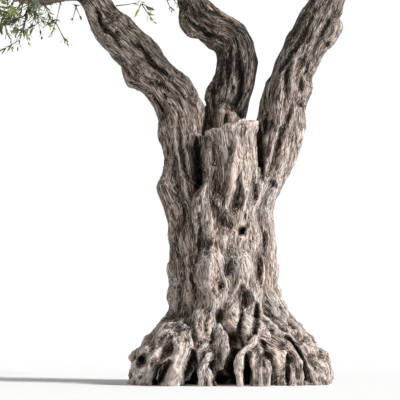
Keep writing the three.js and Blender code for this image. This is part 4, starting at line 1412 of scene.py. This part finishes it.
def grain_wood(wood, tubes, sizes):
    """The fine forms: strands, fibres and pits that run along the wood."""
    mesh = wood.data
    co = smoothed(vertices_of(mesh), edges_of(mesh), 1)
    move_vertices(mesh, co)
    normals = normals_of(mesh)
    _, _, owner, grain = grain_of(co, tubes)
    wander = [noise(co / GRAIN_BENDS, start) for start in (1.0, 2.0)]
    grain = grain + np.stack(wander + [np.zeros(len(co))], axis=1) * GRAIN_BEND
    _, sawn, thick = of_tubes(tubes, owner)
    keep = 1 - on_saw_cut(co, sawn)
    bulk = np.clip(thick / FINE_BULK[0], FINE_BULK[1], 1)
    middling = ridges(grain, *SMALL_STRANDS) * sizes.strand_height * 0.55
    middling = middling * patchy(co, SMALL_STRAND_PATCHES)
    fine = ridges(grain, *FIBRES) * sizes.fibre_height
    finest = stretched(grain, HAIRS) * sizes.fibre_height * 0.7
    move = ((middling + fine) * bulk + finest + hollows(grain, PITS)) * (0.06 + 0.94 * keep)
    co = co + normals * move[:, None]
    move_vertices(mesh, co)
    mark_wood(mesh, co, tubes, owner, grain, 1 - keep)


def mark_wood(mesh, co, tubes, owner, grain, cut):
    """Leaves what the bark's colours need as attributes of the mesh: its grain and its relief, which paints
    shade into the hollows, the painted shade where it is carved deep, where it is sawn, its painted shade and
    stains, its places of wear and painted light, and the tube that each vertex belongs to."""
    pairs = edges_of(mesh)
    normals = normals_of(mesh)
    front = facing_front(normals)
    carved, _, thick = of_tubes(tubes, owner)
    # The relief: painted shade where the skin lies below its smoothed self, paler bark where it stands above.
    hollow = np.zeros(len(co))
    for rounds, full, share in RELIEF:
        height = np.einsum("ij,ij->i", co - smoothed(co, pairs, rounds), normals)
        hollow += share * np.tanh(height / full)
    low = onset(co[:, 2], *LOW)
    hollow *= 1 + LOW_RELIEF * low
    # Painted shade where the strokes carve into the front.
    deep = np.clip(drawn(co, STROKES) * 8, 0, 1) * carved
    flat = np.clip((normals @ saw_normal() - 0.5) * 3, 0, 1)
    # Painted shade that grows with height on the boughs and limbs, then the rows listed with it.
    shaded = np.array([SHADED.get(t["node"], LIMB_SHADE) for t in tubes])[owner]
    shaded = shaded * onset(co[:, 2], *SHADE_RISE)
    for more, across, up in SHADES:
        shaded += more * onset(co[:, 0], *across) * onset(co[:, 2], *up)
    shaded += THIN_SHADE * (thick < THIN) * low
    worn_and_lit = np.clip(drawn(co, WORN_AND_LIT) * front, 0, 1)
    # Places of wear and painted light lose their painted shade; the front strokes add painted shade and
    # stains.
    shaded = np.minimum(shaded, MOST_SHADE) * (1 - worn_and_lit) + drawn(co, PAINTED_SHADE_AND_STAINS) * front
    save_attribute(mesh, "grain", "FLOAT_VECTOR", "vector", grain)
    for name, values in (
        ("relief", 0.5 + 0.5 * hollow),
        ("deep", smoothed(deep, pairs, 3)),
        ("sawn", cut * flat),
        ("shaded", smoothed(shaded, pairs, 8)),
        ("worn_and_lit", worn_and_lit),
    ):
        save_attribute(mesh, name, "FLOAT", "value", values)
    save_attribute(mesh, "owner", "INT", "value", owner)


def save_attribute(mesh, name, kind, field, values):
    attribute = mesh.attributes.new(name, kind, "POINT")
    attribute.data.foreach_set(field, np.asarray(values, np.int32 if kind == "INT" else np.float32).ravel())


def split_by_node(wood, tube_nodes):
    """Splits the wood into one piece a node, and keeps the normals that it had as a whole. The trunk is two
    pieces, parted at the middle of its vertices, so that neither has too many faces."""
    mesh = wood.data
    owner = np.empty(len(mesh.vertices), np.int32)
    mesh.attributes["owner"].data.foreach_get("value", owner)
    mesh.attributes.remove(mesh.attributes["owner"])
    names = sorted(set(tube_nodes))
    number = {name: i for i, name in enumerate(names)}
    marks = np.array([number[name] for name in tube_nodes])[np.clip(owner, 0, len(tube_nodes) - 1)]
    heights = vertices_of(mesh)[:, 2]
    trunk = marks == number["trunk"]
    marks = np.where(trunk & (heights < np.median(heights[trunk])), -1, marks)
    normals = normals_of(mesh)
    save_attribute(mesh, "whole_normal", "FLOAT_VECTOR", "vector", normals)
    corners = np.empty(len(mesh.loops), np.int32)
    mesh.loops.foreach_get("vertex_index", corners)
    starts = np.empty(len(mesh.polygons), np.int32)
    mesh.polygons.foreach_get("loop_start", starts)
    face_marks = marks[corners[starts]]
    pieces = []
    for label, name, mark in [(name, name, number[name]) for name in names] + [("trunk_foot", "trunk", -1)]:
        piece = wood.copy()
        piece.data = mesh.copy()
        piece.name = label + "_bark"
        bpy.context.scene.collection.objects.link(piece)
        bm = bmesh.new()
        bm.from_mesh(piece.data)
        bm.faces.ensure_lookup_table()
        other = [face for face, own in zip(bm.faces, face_marks) if own != mark]
        bmesh.ops.delete(bm, geom=other, context="FACES")
        bm.to_mesh(piece.data)
        bm.free()
        vectors = np.empty(3 * len(piece.data.vertices), np.float32)
        piece.data.attributes["whole_normal"].data.foreach_get("vector", vectors)
        piece.data.attributes.remove(piece.data.attributes["whole_normal"])
        piece.data.shade_smooth()
        piece.data.normals_split_custom_set_from_vertices(vectors.reshape(-1, 3).tolist())
        pieces.append((name, piece))
    bpy.data.objects.remove(wood)
    return pieces


# Materials


def new_material(name, roughness, specular):
    material = bpy.data.materials.new(name)
    material.use_nodes = True
    shader = material.node_tree.nodes["Principled BSDF"]
    shader.inputs["Roughness"].default_value = roughness
    shader.inputs["Specular IOR Level"].default_value = specular
    return material, material.node_tree, shader


def node(tree, kind, **values):
    made = tree.nodes.new(kind)
    for key, value in values.items():
        setattr(made, key, value)
    return made


def ramp(tree, source, stops):
    made = node(tree, "ShaderNodeValToRGB")
    elements = made.color_ramp.elements
    while len(elements) < len(stops):
        elements.new(0.5)
    for element, (place, colour) in zip(elements, stops):
        element.position = place
        element.color = (*colour, 1.0)
    tree.links.new(source, made.inputs["Fac"])
    return made.outputs["Color"]


def scaled(tree, source, scale):
    made = node(tree, "ShaderNodeMapping")
    made.inputs["Scale"].default_value = scale
    tree.links.new(source, made.inputs["Vector"])
    return made.outputs["Vector"]


def noise_node(tree, vector, scale, detail, roughness=0.6):
    made = node(tree, "ShaderNodeTexNoise")
    made.inputs["Scale"].default_value = scale
    made.inputs["Detail"].default_value = detail
    made.inputs["Roughness"].default_value = roughness
    tree.links.new(vector, made.inputs["Vector"])
    return made.outputs["Fac"]


def combine(tree, operation, a, b):
    made = node(tree, "ShaderNodeMath", operation=operation)
    for socket, value in zip(made.inputs, (a, b)):
        if isinstance(value, (int, float)):
            socket.default_value = value
        else:
            tree.links.new(value, socket)
    return made.outputs["Value"]


def mix_colours(tree, blend, factor, a, b):
    made = node(tree, "ShaderNodeMix", data_type="RGBA", blend_type=blend)
    for name, value in (("Factor_Float", factor), ("A_Color", a), ("B_Color", b)):
        socket = next(s for s in made.inputs if s.identifier == name)
        if isinstance(value, (int, float)):
            socket.default_value = value
        elif isinstance(value, tuple):
            socket.default_value = (*value, 1.0)
        else:
            tree.links.new(value, socket)
    return next(s for s in made.outputs if s.identifier == "Result_Color")


def bark_material(name, colours, paleness):
    """Weathered olive bark: painted shade in its furrows and where the light doesn't reach, pale and fibrous
    on its ridges, with pinkish places of wear and painted highlights.
    """
    material, tree, shader = new_material(name, 0.88, 0.18)
    grain = node(tree, "ShaderNodeAttribute", attribute_name="grain").outputs["Vector"]
    relief, sawn, worn_and_lit, shaded, deep = (
        node(tree, "ShaderNodeAttribute", attribute_name=kept).outputs["Fac"]
        for kept in ("relief", "sawn", "worn_and_lit", "shaded", "deep"))
    place = node(tree, "ShaderNodeTexCoord").outputs["Object"]
    fibres = noise_node(tree, scaled(tree, grain, (1, 1, 0.075)), 150, 3, 0.65)
    streaks = noise_node(tree, scaled(tree, grain, (1, 1, 0.09)), 48, 4, 0.7)
    patches = noise_node(tree, place, 3.2, 3, 0.6)
    specks = noise_node(tree, scaled(tree, grain, (1, 1, 0.45)), 95, 2, 0.7)
    height = combine(tree, "ADD", combine(tree, "MULTIPLY", relief, 0.64), paleness)
    # Places of wear and painted light raise the height that picks the colour; painted shade and the deep
    # carving, with its painted shade, lower it.
    for source, middle, weight in (
        (streaks, 0.5, 0.75),
        (fibres, 0.5, 2.15),
        (worn_and_lit, 0.0, 0.16),
        (shaded, 0.0, -0.20),
        (deep, 0.0, -0.30),
    ):
        away = combine(tree, "SUBTRACT", source, middle)
        height = combine(tree, "ADD", height, combine(tree, "MULTIPLY", away, weight))
    # Low relief takes the crack and shade colours, which are painted shade in the furrows; the ridge colour
    # is partly painted highlight.
    base = ramp(tree, height, [
        (0.06, tuple(colours.crack)),
        (0.26, tuple(colours.shade)),
        (0.46, tuple(colours.bark)),
        (0.78, tuple(colours.ridge)),
    ])
    rosy = mix_colours(tree, "MULTIPLY", 1.0, base, tuple(colours.blush))
    base = mix_colours(tree, "MIX", worn_and_lit, base, rosy)
    warm = ramp(tree, patches, [(0.36, (0.92, 0.93, 0.95)), (0.64, (1.07, 0.99, 0.95))])
    base = mix_colours(tree, "MULTIPLY", 1.0, base, warm)
    dots = ramp(tree, specks, [(0.30, (0.35, 0.31, 0.28)), (0.42, (1, 1, 1))])
    base = mix_colours(tree, "MULTIPLY", 0.45, base, dots)
    base = mix_colours(tree, "MIX", sawn, base, end_grain(tree, place, colours.heartwood))
    tree.links.new(base, shader.inputs["Base Color"])
    rough = combine(tree, "ADD", fibres, combine(tree, "MULTIPLY", streaks, 0.8))
    add_bump(tree, shader, rough, 0.8, 0.006)
    return material


def end_grain(tree, place, heartwood):
    """The rings of the sawn wood, round the middle of the cut."""
    rings = node(tree, "ShaderNodeTexWave", wave_type="RINGS", rings_direction="SPHERICAL")
    rings.inputs["Scale"].default_value = 16
    rings.inputs["Distortion"].default_value = 2.5
    centre = node(tree, "ShaderNodeMapping")
    centre.inputs["Location"].default_value = tuple(-v for v in SAW_CUT["at"])
    tree.links.new(place, centre.inputs["Vector"])
    tree.links.new(centre.outputs["Vector"], rings.inputs["Vector"])
    dark = tuple(c * 0.6 for c in heartwood)
    return ramp(tree, rings.outputs["Fac"], [(0.2, dark), (0.7, tuple(heartwood))])


def add_bump(tree, shader, height, strength, distance):
    bump = node(tree, "ShaderNodeBump")
    bump.inputs["Strength"].default_value = strength
    bump.inputs["Distance"].default_value = distance
    tree.links.new(height, bump.inputs["Height"])
    tree.links.new(bump.outputs["Normal"], shader.inputs["Normal"])


def twig_bark(settings):
    """Grey brown, speckled bark for everything thinner than a limb."""
    material, tree, shader = new_material("twig_bark", 0.8, 0.2)
    place = node(tree, "ShaderNodeTexCoord").outputs["Object"]
    speckle = noise_node(tree, place, 60, 3, 0.65)
    base = tuple(settings.twig)
    shade = ramp(tree, speckle, [(0.3, tuple(0.45 * c for c in base)), (0.7, tuple(1.5 * c for c in base))])
    tree.links.new(shade, shader.inputs["Base Color"])
    add_bump(tree, shader, speckle, 0.5, 0.002)
    return material


# The crown's twigs and leaves


def twig_sticks(mass, twigs):
    """The stem of a mass, which starts inside the tip of its limb, and its twigs."""
    stem = Line(stem_stations(mass)).value(np.linspace(0, 1, 12))
    stem[0, :3] -= unit(stem[1, :3] - stem[0, :3]) * STEM_SUNK
    sticks = [stick_mesh(stem[None, :, :3], stem[None, :, 3], 9)]
    for twig in twigs:
        points = between(twig["corners"], 3)
        girth = np.linspace(1, 0.12, len(points)) * twig["girth"] * 0.8
        sticks.append(stick_mesh(points[None], girth[None], 5))
    return sticks


def shoot_sticks(shoots, girths, sides):
    points = np.stack([along_shoot(*shoots[:4], share) for share in (0.0, 0.45, 1.0)], axis=1)
    return stick_mesh(points, girths, sides)


def sprig_shoots():
    """The young sprigs beside the photo's upper edge, told as shoots are."""
    ends = np.array([(*start, *end) for start, end, _ in SPRIGS])
    ways = ends[:, 3:] - ends[:, :3]
    lengths = np.linalg.norm(ways, axis=1)
    bare = np.array([sprig[2] for sprig in SPRIGS])
    return ends[:, :3], unit(ways), lengths, np.full(len(ends), SPRIG_SAG), bare


def dress(shoots, random, settings, leaves):
    """Opposite pairs of leaves along each shoot, all of one colour, inside the tree's box."""
    starts, ways, lengths, sag, bare = shoots
    dealt = random.choice(len(LEAF_SHARES), len(starts), p=tuple(LEAF_SHARES.values()))
    for which, kind in enumerate(LEAF_SHARES):
        own = np.nonzero(dealt == which)[0]
        pairs = np.maximum(2, (lengths[own] * (1 - bare[own]) / settings.pair_spacing).astype(int))
        index = np.repeat(own, pairs)
        order = np.concatenate([np.arange(n) for n in pairs]) if len(pairs) else np.zeros(0, int)
        share = bare[index] + (1 - bare[index]) * (order + 0.5) / np.repeat(pairs, pairs)
        own_starts = along_shoot(starts[index], ways[index], lengths[index], sag[index], share)
        heading = ways[index].copy()
        heading[:, 2] -= 2 * sag[index] * share
        heading = unit(heading)
        young = np.clip(1.25 - share, 0.45, 1)
        for half in (0.0, math.pi):
            n = len(index)
            roll = order * math.pi / 2 + half + random.uniform(-0.5, 0.5, n)
            out = across_of(heading, roll)
            lean = random.uniform(*LEAF_LEAN, n)[:, None]
            way = heading * np.cos(lean) + out * np.sin(lean)
            way[:, 2] -= random.uniform(0.0, LEAF_DROOP, n)
            way = unit(way)
            side = unit(np.cross(way, out) + way * 1e-3)
            length = settings.leaf_length * random.uniform(0.75, 1.1, n) * young
            width = settings.leaf_width * random.uniform(0.8, 1.15, n) * (0.4 + 0.6 * young)
            bend = random.uniform(0.0, LEAF_BEND, n)
            tips = own_starts + way * length[:, None]
            good = ((tips > np.array(CAD_BOUNDS[0])) & (tips < np.array(CAD_BOUNDS[1]))).all(axis=1)
            leaves[kind].append(leaf_mesh(
                own_starts[good], way[good], side[good], length[good], width[good], bend[good]))


def keep_foliage(piece, material):
    """Gives a piece of the crown its finish, and puts it in the place of all masses."""
    piece.data.materials.append(material)
    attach(piece, "root")
    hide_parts(*["foliage_" + name for name in MASSES])


# Settings


def colour(name, description, default):
    return bpy.props.FloatVectorProperty(name=name, description=description, default=default, size=3,
                                         subtype="COLOR", min=0, max=1)


def size(name, description, default):
    return bpy.props.FloatProperty(name=name, description=description, default=default, min=0, unit="LENGTH")


class OliveWoodSettings(bpy.types.PropertyGroup):
    voxel: size("Voxel", "Spacing of the wood's finest faces", 0.009)
    strand_height: size("Strand height", "How far the strands of the wood stand out", 0.0065)
    fibre_height: size("Fibre height", "How far the fibres of the bark stand out", 0.0034)
    fold_depth: size("Fold depth", "Depth of the folds where two cords meet", 0.024)
    # The crack and shade colours are painted shade in the furrows; the ridge colour is pale bark and partly
    # painted highlight.
    crack: colour("Crack", "Bottom of the deepest furrows", (0.018, 0.014, 0.011))
    shade: colour("Shade", "Sides of the furrows", (0.110, 0.088, 0.072))
    bark: colour("Bark", "Weathered grey of the bark", (0.300, 0.255, 0.222))
    ridge: colour("Ridge", "Worn tops of the ridges", (0.710, 0.645, 0.600))
    blush: colour("Blush", "Tint of the worn, pinkish places", (1.000, 0.910, 0.865))
    heartwood: colour("Heartwood", "Sawn face of the stump", (0.420, 0.330, 0.240))


class OliveCrownSettings(bpy.types.PropertyGroup):
    shoot_spacing: size("Shoot spacing", "Distance between one leafy shoot and the next on a twig", 0.068)
    pair_spacing: size("Leaf spacing", "Distance between one pair of leaves and the next on a shoot", 0.024)
    leaf_length: size("Leaf length", "Length of a full grown leaf", 0.082)
    leaf_width: size("Leaf width", "Width of a full grown leaf", 0.0150)
    twig: colour("Twigs", "Grey brown of the twigs", (0.190, 0.160, 0.135))
    deep: colour("Deep green", "Old leaves inside the crown", (0.080, 0.110, 0.036))
    green: colour("Green", "Most of the leaves", (0.165, 0.215, 0.064))
    bright: colour("Bright green", "Young leaves", (0.370, 0.425, 0.140))
    silver: colour("Silver", "Leaves that show their underside", (0.380, 0.420, 0.300))
    faded: colour("Faded", "Old leaves about to fall", (0.680, 0.420, 0.230))


def amount(name, description, default, least=0):
    return bpy.props.FloatProperty(name=name, description=description, default=default, min=least)


class OliveStageSettings(bpy.types.PropertyGroup):
    floor: colour("Floor", "Colour of the plain floor", (0.985, 0.985, 0.985))
    backdrop: amount("Backdrop", "Brightness behind the tree", 1.0)
    sky: amount("Sky", "Strength of the even white light", 0.38)
    key: amount("Key", "Strength of the soft light from the front right", 4.3)
    lens: amount("Lens", "Focal length of the camera in millimetres", 180, 1)


# Operators


class OLIVE_OT_wood(bpy.types.Operator):
    """Builds the trunk, boughs and limbs as one grown skin of furrowed wood, split by node"""

    bl_idname = "olive.wood"
    bl_label = "Wood"

    def execute(self, context):
        sizes = context.scene.olive_wood
        wood, tubes = rough_wood(sizes.voxel * 1.4)
        shape_wood(wood, tubes, sizes)
        apply_modifier(wood, "REMESH", mode="VOXEL", voxel_size=sizes.voxel)
        grain_wood(wood, tubes, sizes)
        cut_flat(wood, (0, 0, 0), (0, 0, -1))
        materials = {
            "bark": bark_material("weathered_bark", sizes, 0.12),
            "limb_bark": bark_material("limb_bark", sizes, 0.14),
        }
        for name, piece in split_by_node(wood, [t["node"] for t in tubes]):
            slot = "limb_bark" if name.startswith("limb_") else "bark"
            piece.data.materials.append(materials[slot])
            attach(piece, "root")
            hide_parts(name)
        return {"FINISHED"}


class OLIVE_OT_crown(bpy.types.Operator):
    """Grows the stems, twigs, shoots and leaves of every mass, in space that each mass keeps to itself"""

    bl_idname = "olive.crown"
    bl_label = "Crown"

    def execute(self, context):
        settings = context.scene.olive_crown
        sticks = []
        leaves = {kind: [] for kind in LEAF_SHARES}
        for number, mass in enumerate(MASSES.values()):
            random = np.random.RandomState(mass.seed + 1000 * number)
            twigs = twigs_of(mass, dice(mass.seed), TWIGS)
            twigs += twigs_of(mass, dice(mass.seed + 500), FINER_TWIGS)
            shoots = shoots_of(mass, twigs, random, settings.shoot_spacing)
            sticks += twig_sticks(mass, twigs)
            sticks.append(shoot_sticks(shoots, np.outer(0.6 + shoots[2] * 3, SHOOT_GIRTHS), 3))
            dress(shoots, random, settings, leaves)
        shoots = sprig_shoots()
        sticks.append(shoot_sticks(shoots, np.tile(SPRIG_GIRTHS, (len(SPRIGS), 1)), 4))
        dress(shoots, np.random.RandomState(SPRIG_SEED), settings, leaves)
        piece = mesh_object("twigs", *joined_arrays(sticks))
        piece.data.shade_smooth()
        keep_foliage(piece, twig_bark(settings))
        for kind in LEAF_SHARES:
            material, _, shader = new_material("leaf_" + kind, 0.5, 0.35)
            shader.inputs["Base Color"].default_value = (*getattr(settings, kind), 1)
            keep_foliage(mesh_object("leaves_" + kind, *joined_arrays(leaves[kind])), material)
        return {"FINISHED"}


class OLIVE_OT_stage(bpy.types.Operator):
    """Lays the pale floor and sets the soft lights and the camera"""

    bl_idname = "olive.stage"
    bl_label = "Stage"

    def execute(self, context):
        settings = context.scene.olive_stage
        bpy.ops.object.select_all(action="DESELECT")
        bpy.ops.mesh.primitive_circle_add(vertices=96, radius=FLOOR_RADIUS, fill_type="NGON",
                                          location=(0, 0, 0))
        floor = context.object
        floor.name = "floor"
        material, _, shader = new_material("pale_floor", 0.9, 0.1)
        shader.inputs["Base Color"].default_value = (*settings.floor, 1)
        floor.data.materials.append(material)
        world = bpy.data.worlds.new("studio")
        world.use_nodes = True
        tree = world.node_tree
        tree.nodes["Background"].inputs["Color"].default_value = (1, 1, 1, 1)
        seen = node(tree, "ShaderNodeLightPath").outputs["Is Camera Ray"]
        lift = combine(tree, "MULTIPLY", seen, settings.backdrop - settings.sky)
        tree.links.new(combine(tree, "ADD", lift, settings.sky), tree.nodes["Background"].inputs["Strength"])
        context.scene.world = world
        self.light("key", KEY_FROM, settings.key)
        camera = bpy.data.cameras.new("camera")
        camera.lens = settings.lens
        camera.sensor_width = SENSOR
        camera.clip_end = FAR_CLIP
        holder = bpy.data.objects.new("camera", camera)
        context.scene.collection.objects.link(holder)
        holder.location = EYE
        target = Vector((EYE[0], 0, AIM_HEIGHT))
        holder.rotation_euler = (target - Vector(EYE)).to_track_quat("-Z", "Y").to_euler()
        context.scene.camera = holder
        context.scene.view_settings.view_transform = "Standard"
        return {"FINISHED"}

    @staticmethod
    def light(name, comes_from, strength):
        data = bpy.data.lights.new(name, "SUN")
        data.angle = math.radians(KEY_WIDTH)
        data.energy = strength
        lamp = bpy.data.objects.new(name, data)
        bpy.context.scene.collection.objects.link(lamp)
        lamp.location = (4, -4, 6)
        lamp.rotation_euler = Vector(comes_from).to_track_quat("Z", "Y").to_euler()


class OLIVE_PT_panel(bpy.types.Panel):
    """Lists the steps of the tree with their sizes and colours"""

    bl_idname = "OLIVE_PT_panel"
    bl_label = "Olive Tree"
    bl_space_type = "VIEW_3D"
    bl_region_type = "UI"
    bl_category = "Olive"

    def draw(self, context):
        scene = context.scene
        for settings, operator in (
            (scene.olive_wood, "olive.wood"),
            (scene.olive_crown, "olive.crown"),
            (scene.olive_stage, "olive.stage"),
        ):
            box = self.layout.box()
            for name in settings.__annotations__:
                box.prop(settings, name)
            box.operator(operator)


CLASSES = (
    OliveWoodSettings,
    OliveCrownSettings,
    OliveStageSettings,
    OLIVE_OT_wood,
    OLIVE_OT_crown,
    OLIVE_OT_stage,
    OLIVE_PT_panel,
)


def register():
    for cls in CLASSES:
        bpy.utils.register_class(cls)
    bpy.types.Scene.olive_wood = bpy.props.PointerProperty(type=OliveWoodSettings)
    bpy.types.Scene.olive_crown = bpy.props.PointerProperty(type=OliveCrownSettings)
    bpy.types.Scene.olive_stage = bpy.props.PointerProperty(type=OliveStageSettings)


def unregister():
    del bpy.types.Scene.olive_wood
    del bpy.types.Scene.olive_crown
    del bpy.types.Scene.olive_stage
    for cls in reversed(CLASSES):
        bpy.utils.unregister_class(cls)


def main():
    register()
    bpy.ops.olive.wood()
    bpy.ops.olive.crown()
    bpy.ops.olive.stage()


if __name__ == "__main__":
    main()
